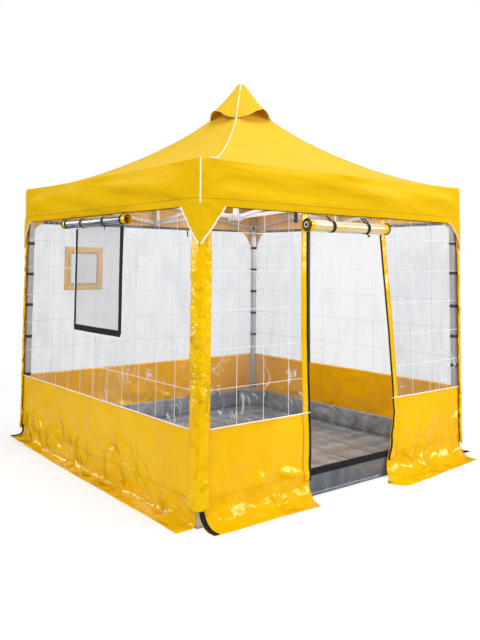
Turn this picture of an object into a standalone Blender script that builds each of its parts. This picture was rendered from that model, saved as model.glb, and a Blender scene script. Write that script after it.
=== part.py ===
"""Clear-walled garden work tent, 2.5 m square, standing on level ground.

The origin is on the ground under the peak, +Z is up, and the door wall faces -Y.
Each wall is drawn once in its own frame (s to the right as seen from outside,
d outward from the centre, z up) and is turned to its side about Z.
"""
import math

import bmesh
import bpy
from mathutils import Matrix, Vector

# Driving sizes, in metres
SIDE = 2.50
HALF = SIDE / 2
EAVE = 2.10
VALANCE_DROP = 0.28
SPLAY = 0.032
FABRIC = 0.004
FILM = 0.003
GAP = 0.0005

# Roof and vent hood
ROOF_RISE = 0.655
ROOF_POWER = 1.6
NECK_RISE = 0.13
NECK_POWER = 8
ROOF_RINGS = 12
ROOF_COLUMNS = 4
NECK_HALF = 0.10
FRONT_HIP_SAG = 0.038
PEAK = 2.945
PEAK_SHIFT = (0.026, -0.026)
HOOD_RADIUS = 0.245
HOOD_TIE = 0.172
HOOD_ARCH_RISE = 0.055
HOOD_STEPS = 32
HOOD_BLUNT = 0.030

# Walls
WALL = 1.238
WALL_TOP = 1.98
BAND_TOP = 0.545
SEAM = 0.150
SKIRT_FLARE = 0.165
SKIRT_STEPS = 8
WALL_END = WALL - 0.010

# Doorway, its edges leaning as the loose cover stretches them
DOOR_TOP = 1.700
DOOR_LEFT_EDGE = ((0.00, -0.360), (DOOR_TOP, -0.422))
DOOR_RIGHT_EDGE = ((0.00, 0.370), (0.10, 0.382), (0.44, 0.440), (1.03, 0.382), (DOOR_TOP, 0.300))
JAMB_WIDTH = 0.055
JAMB_BOTTOM = 0.09
DOOR_ROLL = {"start": -0.450, "end": 0.318, "radius": 0.037, "height": 1.743}

# Window with an insect screen in the left wall
WINDOW = {"left": -0.305, "right": 0.335, "bottom": 1.035, "top": 1.735}
EDGING = 0.035
WINDOW_ROLL = {"start": -0.430, "end": 0.487, "radius": 0.031, "height": 1.776}

# Small framed window in the back wall
PANE = {"left": 0.592, "right": 0.834, "bottom": 1.310, "top": 1.566}
FRAME_WIDTH = 0.062

# Corner flaps of the valance and the strips over the wall joints
FLAP_WIDTH = 0.170
FLAP_DROP = 0.217
SLEEVE_WIDTH = 0.080
STRIP_WIDTH = 0.030
STRIP_BOTTOM = 0.10
LOOSE = 0.0035

# Groundsheet with upturned sides
TUB_HALF = 1.254
TUB_FOOT = 1.278
TUB_BEND = 0.030
TUB_HEIGHT = 0.178
TUB_CORNER = 0.16
THRESHOLD_DEPTH = 0.046

# Folding frame
LEG = 0.040
INNER_LEG = 0.032
LEG_CENTRE = 1.2125
LEG_TOP = 2.075
LEG_JOINT = 0.200
FOOT = 0.055
FOOT_THICKNESS = 0.006
BAR_WIDTH = 0.028
BAR_DEPTH = 0.014
TRUSS_TOP = 2.050
TRUSS_BOTTOM = 1.870
MAST = 0.034
MAST_TIP = 0.012
HUB = 0.080

FRONT, RIGHT, BACK, LEFT = 0, 1, 2, 3
SIDE_NAMES = ("front", "right", "back", "left")
CORNER_NAMES = ("front_left", "front_right", "back_right", "back_left")


def clear_scene():
    for obj in list(bpy.data.objects):
        bpy.data.objects.remove(obj, do_unlink=True)


def new_collection(name):
    collection = bpy.data.collections.new(name)
    bpy.context.scene.collection.children.link(collection)
    return collection


def make_material(name, colour, roughness, metallic=0.0, alpha=1.0):
    material = bpy.data.materials.new(name)
    material.use_nodes = True
    shader = material.node_tree.nodes["Principled BSDF"]
    shader.inputs["Base Color"].default_value = (*colour, 1.0)
    shader.inputs["Roughness"].default_value = roughness
    shader.inputs["Metallic"].default_value = metallic
    shader.inputs["Alpha"].default_value = alpha
    return material


def lean(z):
    """Outward growth of the plan from the eave down to the ground."""
    return 1 + SPLAY / HALF * (1 - z / EAVE)


def leaned(s, d, z):
    """A point of a side's own frame, with the outward lean of legs and walls."""
    return Vector((s * lean(z), -d * lean(z), z))


def edge_at(edge, z):
    """Position along the wall, at height z, of an edge given by (z, s) points."""
    for (z0, s0), (z1, s1) in zip(edge, edge[1:]):
        if z <= z1:
            return s0 + (s1 - s0) * (z - z0) / (z1 - z0)
    return edge[-1][1]


def add_object(name, mesh, material, collection, turn=0):
    obj = bpy.data.objects.new(name, mesh)
    collection.objects.link(obj)
    obj.parent = tent
    obj.rotation_euler.z = math.radians(90 * turn)
    mesh.materials.clear()
    mesh.materials.append(material)
    return obj


def mesh_from(bm, name):
    bmesh.ops.recalc_face_normals(bm, faces=bm.faces)
    mesh = bpy.data.meshes.new(name)
    bm.to_mesh(mesh)
    bm.free()
    return mesh


def sheet(name, rows, thickness, material, turn=0, closed=False, outward=False):
    """A sheet of fabric: an open surface through rows of points, made solid.

    Rows run downward and each row runs to the right, so the surface faces out.
    """
    bm = bmesh.new()
    grid = [[bm.verts.new(point) for point in row] for row in rows]
    for upper, lower in zip(grid, grid[1:]):
        count = len(upper)
        for i in range(count if closed else count - 1):
            j = (i + 1) % count
            bm.faces.new((upper[i], lower[i], lower[j], upper[j]))
    mesh = bpy.data.meshes.new(name)
    bm.to_mesh(mesh)
    bm.free()
    obj = add_object(name, mesh, material, parts, turn)
    solid = obj.modifiers.new("thickness", "SOLIDIFY")
    solid.thickness = thickness
    solid.offset = 1.0 if outward else -1.0
    solid.use_even_offset = True
    return obj


def panel(name, turn, material, left, right, top, bottom, depth=WALL, thickness=FABRIC):
    """A flat upright panel of a wall; left and right are numbers or (z, s) edges."""
    bent_edges = [edge for edge in (left, right) if isinstance(edge, tuple)]
    bends = {z for edge in bent_edges for z, s in edge if bottom < z < top}
    rows = []
    for z in sorted(bends | {top, bottom}, reverse=True):
        ends = [edge_at(edge, z) if isinstance(edge, tuple) else edge for edge in (left, right)]
        rows.append([leaned(s, depth, z) for s in ends])
    return sheet(name, rows, thickness, material, turn)


def skirt(name, turn, left, right):
    """A ground flap that comes down from the seam and lies out on the ground."""
    rows = []
    for i in range(SKIRT_STEPS + 1):
        q = i / SKIRT_STEPS
        z = (SEAM - 2 * GAP) * (1 - q) ** 2
        d = WALL - FABRIC + SKIRT_FLARE * q ** 3
        rows.append([leaned(s, d, z) for s in (left, right)])
    return sheet(name, rows, FABRIC, yellow_pvc, turn, outward=True)


def box_mesh(name, size, centre, rotation=None):
    """A box from a unit cube, sized and placed in its mesh."""
    bm = bmesh.new()
    matrix = Matrix.Translation(centre)
    if rotation is not None:
        matrix = matrix @ rotation.to_matrix().to_4x4()
    bmesh.ops.create_cube(bm, size=1.0, matrix=matrix @ Matrix.Diagonal((*size, 1.0)))
    return mesh_from(bm, name)


def lean_mesh(mesh):
    for vertex in mesh.vertices:
        k = lean(vertex.co.z)
        vertex.co.x *= k
        vertex.co.y *= k
    return mesh


def add_cutter(name, mesh, turn=0):
    cutter = add_object(name, mesh, bare_steel, cutters, turn)
    cutter.hide_render = True
    cutter.display_type = "WIRE"
    return cutter


def boolean(obj, other, operation):
    modifier = obj.modifiers.new(other.name, "BOOLEAN")
    modifier.operation = operation
    modifier.object = other
    modifier.solver = "EXACT"


def fuse(name, meshes, material, turn=0):
    """One solid from several overlapping boxes."""
    obj = add_object(name, meshes[0], material, parts, turn)
    for number, mesh in enumerate(meshes[1:]):
        boolean(obj, add_cutter(f"{name}_piece_{number}", mesh, turn), "UNION")
    return obj


def bar_mesh(name, start, end, depth):
    """A flat steel bar between two points in an upright plane."""
    start, end = Vector(start), Vector(end)
    length = (end - start).length
    rotation = (end - start).to_track_quat("X", "Z")
    return box_mesh(name, (length, depth, BAR_WIDTH), (start + end) / 2, rotation)


def scissor_bars(start, end, y):
    """A pair of crossing bars; one is a little thinner, so that their faces stay apart."""
    rising = bar_mesh("rising_bar", (start, y, TRUSS_BOTTOM), (end, y, TRUSS_TOP), BAR_DEPTH)
    falling = bar_mesh("falling_bar", (start, y, TRUSS_TOP), (end, y, TRUSS_BOTTOM), BAR_DEPTH * 0.8)
    return [rising, falling]


def build_legs():
    for turn, corner in enumerate(CORNER_NAMES):
        at = Vector((-LEG_CENTRE, -LEG_CENTRE, 0))
        upright = (
            ("outer_tube", LEG, LEG_JOINT, LEG_TOP),
            ("inner_tube", INNER_LEG, FOOT_THICKNESS / 2, LEG_JOINT + LEG),
            ("foot_plate", FOOT, 0, FOOT_THICKNESS),
        )
        shapes = []
        for name, width, low, high in upright:
            size = (width, width, high - low)
            shapes.append(box_mesh(name, size, at + Vector((0, 0, (low + high) / 2))))
        fuse(f"leg_{corner}", [lean_mesh(shape) for shape in shapes], bare_steel, turn)


def build_trusses():
    """Scissor bars along each side, and across to the mast that lifts the peak."""
    reach = LEG_CENTRE - LEG / 2 - GAP
    depth = -LEG_CENTRE
    height = TRUSS_TOP - TRUSS_BOTTOM
    middle = (TRUSS_TOP + TRUSS_BOTTOM) / 2
    for turn, side in enumerate(SIDE_NAMES):
        shapes = [
            box_mesh("middle_slider", (LEG, BAR_DEPTH * 2, height + BAR_WIDTH * 2), (0, depth, middle)),
        ]
        for sign in (-1, 1):
            shapes += scissor_bars(sign * LEG / 4, sign * (reach - LEG / 2), depth)
            bracket = (LEG, BAR_DEPTH * 2, BAR_WIDTH * 2)
            for z in (TRUSS_TOP, TRUSS_BOTTOM):
                shapes.append(box_mesh("bracket", bracket, (sign * (reach - LEG / 2), depth, z)))
        fuse(f"truss_{side}", [lean_mesh(shape) for shape in shapes], bare_steel, turn)

    hub_height = BAR_WIDTH * 2
    arm_end = LEG_CENTRE - BAR_DEPTH - 2 * GAP
    mast_top = PEAK - 0.060
    tip_top = PEAK - FABRIC - GAP
    shapes = [
        box_mesh("mast", (MAST, MAST, mast_top - TRUSS_BOTTOM), (0, 0, (mast_top + TRUSS_BOTTOM) / 2)),
        box_mesh("tip", (MAST_TIP, MAST_TIP, tip_top - TRUSS_TOP), (0, 0, (tip_top + TRUSS_TOP) / 2)),
    ]
    for z in (TRUSS_TOP, TRUSS_BOTTOM):
        shapes.append(box_mesh("hub", (HUB, HUB, hub_height), (0, 0, z)))
    for turn in range(4):
        arm = scissor_bars(HUB * 0.3, arm_end - BAR_WIDTH / 2, 0)
        arm.append(box_mesh("end_post", (BAR_WIDTH, BAR_WIDTH, height + BAR_WIDTH * 2),
                            (arm_end - BAR_WIDTH / 2, 0, middle)))
        for piece in arm:
            piece.transform(Matrix.Rotation(math.radians(90 * turn), 4, "Z"))
        shapes += arm
    for shape in shapes:
        for vertex in shape.vertices:
            vertex.co += peak_shift(max(0.0, (vertex.co.z - TRUSS_TOP) / (PEAK - TRUSS_TOP)))
    fuse("centre_mast", shapes, bare_steel)


def roof_height(r):
    """Height of the concave roof where its level section is 2r square."""
    t = 1 - r / HALF
    return EAVE + ROOF_RISE * t ** ROOF_POWER + NECK_RISE * t ** NECK_POWER


def peak_shift(height_share):
    """The mast stands a little off centre at its top, and the cloth follows it."""
    return Vector((*PEAK_SHIFT, 0)) * height_share


def roof_point(r, x, y):
    """A point of the roof on the level square 2r wide; x and y run from -1 to 1."""
    t = 1 - r / HALF
    toward_front_hip = max(0.0, -x) * max(0.0, -y)
    sag = FRONT_HIP_SAG * toward_front_hip ** 2 * math.sin(math.pi * min(1.0, t * 1.15)) ** 0.8
    return Vector((x * r, y * r, roof_height(r) - sag)) + peak_shift(t)


def square_ring(r):
    """Points round a level square of the roof, counter-clockwise as seen from above."""
    points = []
    for turn in range(4):
        for i in range(ROOF_COLUMNS):
            corner = Vector((2 * i / ROOF_COLUMNS - 1, -1, 0))
            corner.rotate(Matrix.Rotation(math.radians(90 * turn), 3, "Z"))
            points.append(roof_point(r, round(corner.x, 6), round(corner.y, 6)))
    return points


def build_roof():
    rows = []
    for i in range(ROOF_RINGS + 1):
        rows.append(square_ring(NECK_HALF + (HALF - NECK_HALF) * (i / ROOF_RINGS) ** 1.4))
    sheet("roof_canopy", rows, FABRIC, yellow_canvas, closed=True)


def build_hood():
    """The vent hood: a cone of cloth tied to the four hips, its edge arched between them."""
    foot = roof_height(HOOD_TIE) + FABRIC * 2
    centre = peak_shift(1 - HOOD_TIE / HALF)
    edge = []
    for i in range(HOOD_STEPS):
        angle = 2 * math.pi * i / HOOD_STEPS
        rise = HOOD_ARCH_RISE * abs(math.cos(2 * angle))
        x, y = HOOD_RADIUS * math.cos(angle), HOOD_RADIUS * math.sin(angle)
        edge.append(centre + Vector((x, y, foot + rise)))
    apex = Vector((0, 0, PEAK + HOOD_BLUNT)) + peak_shift(1)
    rows = []
    for q in (0.0, 0.4, 0.7, 1.0):
        rows.append([])
        for point in edge:
            blunt = apex.lerp(point, HOOD_BLUNT / (apex.z - point.z))
            rows[-1].append(blunt.lerp(point, q))
    hood = sheet("vent_hood", rows, FABRIC, yellow_canvas, closed=True)
    bm = bmesh.new()
    bm.from_mesh(hood.data)
    cap = [rim for rim in bm.edges if all(vertex.co.z > PEAK - FABRIC for vertex in rim.verts)]
    bmesh.ops.contextual_create(bm, geom=cap)
    bm.to_mesh(hood.data)
    bm.free()


def build_valances():
    """Each side's valance, with half of a pointed corner flap at each end."""
    bottom = EAVE - VALANCE_DROP
    top = EAVE - FABRIC - GAP
    steps = 4
    for turn, side in enumerate(SIDE_NAMES):
        bm = bmesh.new()
        outline = [(-HALF + FABRIC + GAP, top), (-HALF + FABRIC + GAP, bottom - FLAP_DROP)]
        for i in range(1, steps + 1):
            q = i / steps
            outline.append((-HALF + FLAP_WIDTH * math.sin(q * math.pi / 2) ** 0.9,
                            bottom - FLAP_DROP * (1 - q) ** 1.25))
        outline += [(-s, z) for s, z in reversed(outline)]
        verts = [bm.verts.new(leaned(s, HALF, z)) for s, z in outline]
        bm.faces.new(verts)
        mesh = bpy.data.meshes.new(f"valance_{side}")
        bm.to_mesh(mesh)
        bm.free()
        obj = add_object(f"valance_{side}", mesh, yellow_canvas, parts, turn)
        solid = obj.modifiers.new("thickness", "SOLIDIFY")
        solid.thickness = FABRIC
        solid.offset = -1.0
        solid.use_even_offset = True


def build_corner_strips():
    depth = WALL + LOOSE
    for turn, corner in enumerate(CORNER_NAMES):
        width = SLEEVE_WIDTH if corner == "front_left" else STRIP_WIDTH
        name = "corner_sleeve" if corner == "front_left" else f"corner_strip_{corner}"
        rows = []
        for z in (WALL_TOP, STRIP_BOTTOM):
            k = lean(z)
            path = [(-depth, -depth + width), (-depth, -depth), (-depth + width, -depth)]
            rows.append([Vector((x * k, y * k, z)) for x, y in path])
        sheet(name, rows, FABRIC, yellow_pvc, turn, outward=True)


def cut_hole(obj, turn, left, right, bottom, top):
    """Cuts a rectangular hole through a wall panel."""
    size = (right - left, 0.2, top - bottom)
    centre = ((left + right) / 2, -WALL, (top + bottom) / 2)
    boolean(obj, add_cutter(f"{obj.name}_hole", box_mesh("hole", size, centre), turn), "DIFFERENCE")


def build_plain_wall(turn):
    side = SIDE_NAMES[turn]
    film = panel(f"{side}_wall_film", turn, clear_film, -WALL_END, WALL_END, WALL_TOP, BAND_TOP + GAP,
                 thickness=FILM)
    panel(f"{side}_wall_band", turn, yellow_pvc, -WALL_END, WALL_END, BAND_TOP, SEAM)
    skirt(f"{side}_wall_skirt", turn, -WALL_END, WALL_END)
    return film


def roll(name, turn, material, spec):
    """A rolled-up cover that hangs against the top of its wall."""
    radius = spec["radius"]
    length = spec["end"] - spec["start"]
    height = spec["height"]
    bpy.ops.mesh.primitive_cylinder_add(vertices=24, radius=radius, depth=length)
    made = bpy.context.object
    mesh = made.data
    bpy.data.objects.remove(made, do_unlink=True)
    mesh.transform(Matrix.Rotation(math.radians(90), 4, "Y"))
    d = (WALL + GAP) * lean(height) + radius + GAP
    mesh.transform(Matrix.Translation(((spec["start"] + spec["end"]) / 2, -d, height)))
    add_object(name, mesh, material, parts, turn)


def ring_plate(name, turn, material, inner, width, depth, thickness, open_top=False):
    """A flat frame round a window, made by cutting its hole through a plate."""
    top = inner["top"] if open_top else inner["top"] + width
    plate = panel(name, turn, material, inner["left"] - width, inner["right"] + width, top,
                  inner["bottom"] - width, depth=depth, thickness=thickness)
    reach = 0.1 if open_top else 0.0
    cut_hole(plate, turn, inner["left"], inner["right"], inner["bottom"], inner["top"] + reach)
    return plate


def build_left_wall():
    film = build_plain_wall(LEFT)
    cut_hole(film, LEFT, WINDOW["left"], WINDOW["right"], WINDOW["bottom"], WINDOW["top"])
    lap = 0.02
    panel("window_screen", LEFT, grey_mesh, WINDOW["left"] - lap, WINDOW["right"] + lap,
          WINDOW["top"] + lap, WINDOW["bottom"] - lap, depth=WALL - FILM - GAP, thickness=FILM)
    ring_plate("window_edging", LEFT, black_tape, WINDOW, EDGING, WALL + FILM + GAP, FILM, open_top=True)
    roll("window_roll", LEFT, clear_film, WINDOW_ROLL)


def build_back_wall():
    film = build_plain_wall(BACK)
    cut_hole(film, BACK, PANE["left"], PANE["right"], PANE["bottom"], PANE["top"])
    ring_plate("back_window_frame", BACK, yellow_pvc, PANE, FRAME_WIDTH, WALL + FILM + GAP, FILM)
    lap = 0.02
    panel("back_window_pane", BACK, clear_film, PANE["left"] - lap, PANE["right"] + lap,
          PANE["top"] + lap, PANE["bottom"] - lap, depth=WALL - FILM - GAP, thickness=FILM)


def build_front_wall():
    """The door wall, split beside and over the doorway."""
    halves = (
        ("left", -WALL_END, DOOR_LEFT_EDGE),
        ("right", DOOR_RIGHT_EDGE, WALL_END),
    )
    for half, left, right in halves:
        panel(f"front_wall_film_{half}", FRONT, clear_film, left, right, WALL_TOP, BAND_TOP + GAP,
              thickness=FILM)
        panel(f"front_wall_band_{half}", FRONT, yellow_pvc, left, right, BAND_TOP, SEAM)
    skirt("front_wall_skirt_left", FRONT, -WALL_END, edge_at(DOOR_LEFT_EDGE, SEAM))
    skirt("front_wall_skirt_right", FRONT, edge_at(DOOR_RIGHT_EDGE, SEAM), WALL_END)
    panel("front_wall_header", FRONT, clear_film, DOOR_LEFT_EDGE[-1][1] + GAP, DOOR_RIGHT_EDGE[-1][1] - GAP,
          WALL_TOP, DOOR_TOP, thickness=FILM)
    for half, edge, sign in (("left", DOOR_LEFT_EDGE, -1), ("right", DOOR_RIGHT_EDGE, 1)):
        outer_edge = tuple((z, s + sign * JAMB_WIDTH) for z, s in edge)
        left, right = (outer_edge, edge) if sign < 0 else (edge, outer_edge)
        panel(f"door_jamb_{half}", FRONT, yellow_pvc, left, right, DOOR_TOP - 0.005, JAMB_BOTTOM,
              depth=WALL + FABRIC + LOOSE)
    roll("door_roll", FRONT, clear_film, DOOR_ROLL)


def build_groundsheet():
    """A sheet with its sides turned up; its corners are cut across inside the legs."""
    rows = []
    for edge, z in ((TUB_HALF, TUB_HEIGHT), (TUB_HALF, TUB_BEND), (TUB_FOOT, 0)):
        rows.append([])
        for turn in range(4):
            for s in (TUB_CORNER - TUB_HALF, TUB_HALF - TUB_CORNER):
                point = Vector((s, -edge, z))
                point.rotate(Matrix.Rotation(math.radians(90 * turn), 3, "Z"))
                rows[-1].append(point)
    tub = sheet("groundsheet", rows, FABRIC, grey_pvc, closed=True)
    bm = bmesh.new()
    bm.from_mesh(tub.data)
    floor_rim = [rim for rim in bm.edges if all(vertex.co.z == 0 for vertex in rim.verts)]
    bmesh.ops.contextual_create(bm, geom=floor_rim)
    bm.to_mesh(tub.data)
    bm.free()

    left = edge_at(DOOR_LEFT_EDGE, TUB_HEIGHT)
    right = edge_at(DOOR_RIGHT_EDGE, TUB_HEIGHT)
    size = (right - left, FILM, THRESHOLD_DEPTH)
    centre = ((left + right) / 2, -(TUB_HALF + GAP + FILM / 2), TUB_HEIGHT - THRESHOLD_DEPTH / 2)
    add_object("threshold_strip", box_mesh("threshold_strip", size, centre), black_tape, parts)


clear_scene()
parts = new_collection("clear_garden_tent")
cutters = new_collection("cutters")
tent = bpy.data.objects.new("tent", None)
parts.objects.link(tent)

yellow_canvas = make_material("yellow_canvas", (0.90, 0.58, 0.02), 0.65)
yellow_pvc = make_material("yellow_pvc", (0.85, 0.47, 0.006), 0.25)
clear_film = make_material("clear_film", (0.92, 0.93, 0.96), 0.08, alpha=0.3)
grey_mesh = make_material("grey_mesh", (0.20, 0.20, 0.22), 0.9, alpha=0.5)
black_tape = make_material("black_tape", (0.02, 0.02, 0.025), 0.8)
grey_pvc = make_material("grey_pvc", (0.22, 0.20, 0.185), 0.35)
bare_steel = make_material("bare_steel", (0.62, 0.60, 0.60), 0.35, metallic=1.0)

build_legs()
build_trusses()
build_roof()
build_hood()
build_valances()
build_corner_strips()
build_plain_wall(RIGHT)
build_left_wall()
build_back_wall()
build_front_wall()
build_groundsheet()
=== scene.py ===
"""The finished look of the clear garden tent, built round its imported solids.

Each wall is drawn in its own frame: s runs to the right as seen from outside, h is
the height up the cloth (below the seam it follows the ground flap outward), and a
turn about Z brings the wall to its side. Sizes are in metres.
"""
import math
from collections import namedtuple
from contextlib import contextmanager

import bmesh
import bpy
from mathutils import Matrix, Vector, noise


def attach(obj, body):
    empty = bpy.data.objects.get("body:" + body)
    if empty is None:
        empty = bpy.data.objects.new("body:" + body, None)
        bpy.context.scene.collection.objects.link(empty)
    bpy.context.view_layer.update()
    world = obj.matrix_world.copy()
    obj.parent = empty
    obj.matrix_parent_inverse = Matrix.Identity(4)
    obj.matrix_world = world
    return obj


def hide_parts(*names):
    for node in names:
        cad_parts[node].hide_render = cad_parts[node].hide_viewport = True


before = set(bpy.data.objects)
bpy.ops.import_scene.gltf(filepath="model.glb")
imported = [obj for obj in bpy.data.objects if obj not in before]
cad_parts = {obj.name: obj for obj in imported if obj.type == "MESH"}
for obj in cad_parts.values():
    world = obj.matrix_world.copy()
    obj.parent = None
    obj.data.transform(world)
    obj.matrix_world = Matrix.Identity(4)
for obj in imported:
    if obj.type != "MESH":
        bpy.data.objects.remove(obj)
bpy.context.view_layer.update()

Opening = namedtuple("Opening", "left right bottom top")
Roll = namedtuple("Roll", "turn start end radius height")

FRONT, RIGHT, BACK, LEFT = 0, 1, 2, 3
SIDE_NAMES = ("front", "right", "back", "left")
CORNER_NAMES = ("front_left", "front_right", "back_right", "back_left")

# Driving sizes of the tent
HALF = 1.25
EAVE = 2.10
EAVE_ROUND = 0.012
SPLAY = 0.032
VALANCE_DROP = 0.28
ROOF_RISE = 0.655
ROOF_POWER = 1.6
NECK_RISE = 0.13
NECK_POWER = 8
NECK_HALF = 0.10
FRONT_HIP_SAG = 0.038
PEAK = 2.945
PEAK_SHIFT = Vector((0.026, -0.026, 0))
HOOD_RADIUS = 0.245
HOOD_FRONT_REACH = 0.034
HOOD_TIE = 0.172
HOOD_ARCH_RISE = 0.055
HOOD_BLUNT = 0.030
FLAP_WIDTH = 0.170
FLAP_DROP = 0.217
FLAP_CURVE = 1.9

# Walls and their ground flaps
WALL = 1.238
WALL_TOP = 1.98
WALL_END = 1.228
BAND_TOP = 0.545
SEAM = 0.150
SEAM_GAP = 0.014
CANVAS_THICKNESS = 0.0015
CLOTH_THICKNESS = 0.0012
STEP = 0.0125

# Each wall's ground flap: the radius of its bend, and its reach at its left and right ends
FLAPS = {
    FRONT: {"bend": 0.105, "reach": (0.146, 0.188)},
    RIGHT: {"bend": 0.070, "reach": (0.150, 0.140)},
    BACK: {"bend": 0.060, "reach": (0.140, 0.140)},
    LEFT: {"bend": 0.032, "reach": (0.055, 0.131)},
}
DOOR_FLAP_REACH = (0.243, 0.150)
DOOR_FLAP_START = 0.23
DOOR_FLAP_ROUND = 0.100
LIFTED_END = 0.047

# Doorway: its edges as (h, s) points
DOOR_TOP = 1.700
DOOR_LEFT_EDGE = ((0.00, -0.360), (1.03, -0.394), (DOOR_TOP, -0.388))
DOOR_RIGHT_EDGE = ((0.00, 0.370), (0.10, 0.382), (0.44, 0.440), (1.03, 0.382), (DOOR_TOP, 0.300))
JAMB_TOP = 1.90
JAMB_FOOT = SEAM - 0.045
JAMB_WIDTH = 0.045
JAMB_TAPE = 0.016

# Window openings and rolls
WINDOW = Opening(-0.305, 0.335, 1.035, 1.735)
PANE = Opening(0.592, 0.834, 1.310, 1.566)
LAP = 0.02
FRAME_WIDTH = 0.062
DOOR_ROLL = Roll(FRONT, -0.450, 0.318, 0.037, 1.743)
WINDOW_ROLL = Roll(LEFT, -0.430, 0.487, 0.031, 1.776)
ROLL_GAP = 0.008
ROLL_DROOP = 0.004
CORE_DEPTH = WALL + 0.045

# Woven thread grid in the clear film, and the heights of the straps on the legs
THREAD_WIDTH = 0.0032
THREAD_LEVELS = (0.768, 0.995, 1.222, 1.449, 1.676)
THREAD_PITCH = 0.203
STRAP_LEVELS = {
    "front_left": (0.75, 0.977, 1.204, 1.431, 1.658),
    "front_right": (0.709, 0.937, 1.174, 1.433, 1.666),
    "back_right": (0.75, 0.977, 1.204, 1.431, 1.658),
    "back_left": (0.555, 0.870, 1.135, 1.391, 1.647),
}

# Groundsheet
TUB_HALF = 1.254
TUB_FOOT = 1.266
TUB_BEND = 0.014
TUB_HEIGHT = 0.178
TUB_CORNER = 0.16
TUB_GAP = 0.009
THRESHOLD_DEPTH = 0.046

# Frame
LEG = 0.040
LEG_CENTRE = 1.2125


def smooth(low, high, value):
    """0 below low, 1 above high, and an even curve between."""
    t = min(1.0, max(0.0, (value - low) / (high - low)))
    return t * t * (3 - 2 * t)


def wave(x, y, z):
    return noise.noise(Vector((x, y, z)))


def facet(x, y, z):
    """Low on the creases between flat patches, high inside the patches."""
    near = noise.voronoi(Vector((x, y, z)))[0]
    return near[1] - near[0]


def crumple(x, y, z):
    """Stiff sheet that has been folded and shaken out, from about -1 to 1."""
    bent_x = x + 0.5 * wave(y * 0.8, x * 0.8, z + 5)
    bent_y = y + 0.5 * wave(x * 0.8, y * 0.8, z + 9)
    large = facet(bent_x, bent_y, z) - facet(bent_y * 0.9, bent_x * 0.9, z + 40)
    small = facet(bent_x * 2.3, bent_y * 2.3, z + 3) - facet(bent_y * 2.1, bent_x * 2.1, z + 43)
    return large + 0.22 * small


def steps(start, end, spacing):
    """Values from start to end, evenly spread and about the spacing apart."""
    count = max(1, round(abs(end - start) / spacing))
    return [start + (end - start) * i / count for i in range(count + 1)]


def lean(z):
    """Outward growth of the plan from the eave down to the ground."""
    return 1 + SPLAY / HALF * (1 - z / EAVE)


def turned(point, turn):
    c, n = ((1, 0), (0, 1), (-1, 0), (0, -1))[turn]
    return Vector((c * point[0] - n * point[1], n * point[0] + c * point[1], point[2]))


def outward(turn):
    return turned((0, -1, 0), turn)


def side_point(turn, s, d, z):
    """A point of a side's own frame, with the outward lean of legs and walls."""
    return turned((s * lean(z), -d * lean(z), z), turn)


def edge_at(edge, h):
    """Place along the wall, at height h, of an edge given as a number or by (h, s) points."""
    if not isinstance(edge, tuple):
        return edge
    for (h0, s0), (h1, s1) in zip(edge, edge[1:]):
        if h <= h1:
            return s0 + (s1 - s0) * (h - h0) / (h1 - h0)
    return edge[-1][1]


def across(left, right, h, shares):
    """Places along the wall at height h, spread between its two edges."""
    low, high = edge_at(left, h), edge_at(right, h)
    return [low + (high - low) * share for share in shares]


def between(start, end, share):
    """The (s, h) point that lies part of the way from one to another."""
    return start[0] + (end[0] - start[0]) * share, start[1] + (end[1] - start[1]) * share


def grown(opening, by):
    """The opening made larger all round."""
    return Opening(opening.left - by, opening.right + by, opening.bottom - by, opening.top + by)


def within(opening, s, h):
    return opening.left < s < opening.right and opening.bottom < h < opening.top


def loop_round(opening):
    """An opening's corners, from the top left down and round to the start."""
    left, right, bottom, top = opening
    return (left, top), (left, bottom), (right, bottom), (right, top), (left, top)


def flap_lift(turn, s):
    """The left wall's flap doesn't reach the ground at its far end."""
    return LIFTED_END * smooth(-0.75, -WALL_END, s) if turn == LEFT else 0.0


def flap_reach(turn, s):
    if turn == FRONT and s > 0:
        near, far = DOOR_FLAP_REACH
        share = (s - DOOR_FLAP_START) / (WALL_END - DOOR_FLAP_START)
    else:
        near, far = FLAPS[turn]["reach"]
        share = (s + WALL_END) / (2 * WALL_END)
    return near + (far - near) * share


def flap_length(turn, s=0.0):
    bend = FLAPS[turn]["bend"]
    return SEAM - bend + math.pi / 2 * bend + flap_reach(turn, s) - bend


def wrinkle(turn, s, h):
    """How far the wall's cloth stands out from its plane; it can't dip into the groundsheet's rim."""
    held = smooth(0.0, 0.16, WALL_END - abs(s)) * 0.85 + 0.15
    hung = smooth(0.0, 0.22, WALL_TOP - h) * 0.8 + 0.2
    out = 0.0085 * wave(s * 1.6, h * 0.55, 11 + turn * 7) * hung * held
    film_share = smooth(BAND_TOP - 0.03, BAND_TOP + 0.10, h)
    if film_share > 0:
        out += 0.0045 * wave(s * 6.5, h * 1.1, 23 + turn * 7) * film_share * held * hung
        out += 0.0050 * crumple(s * 3.2, h * 1.3, 31 + turn * 7) * film_share * held
    if film_share < 1:
        low = smooth(0.40, 0.12, h)
        lying = smooth(FLAPS[turn]["bend"] * 0.9, 0.17, SEAM - h)
        amount = (0.0080 + 0.0180 * low) * (1 - 0.93 * lying) * (1 - film_share)
        out += amount * crumple(s * 3.6, h * 4.4, 43 + turn * 7) * held
        out += 0.006 * wave(s * 1.9 + h * 1.6, h * 1.2, 53 + turn * 7) * (1 - film_share) * held
    tub_rim = -TUB_GAP - 0.05 * smooth(TUB_HEIGHT + 0.017, 0.30, h)
    return max(out, tub_rim)


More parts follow.
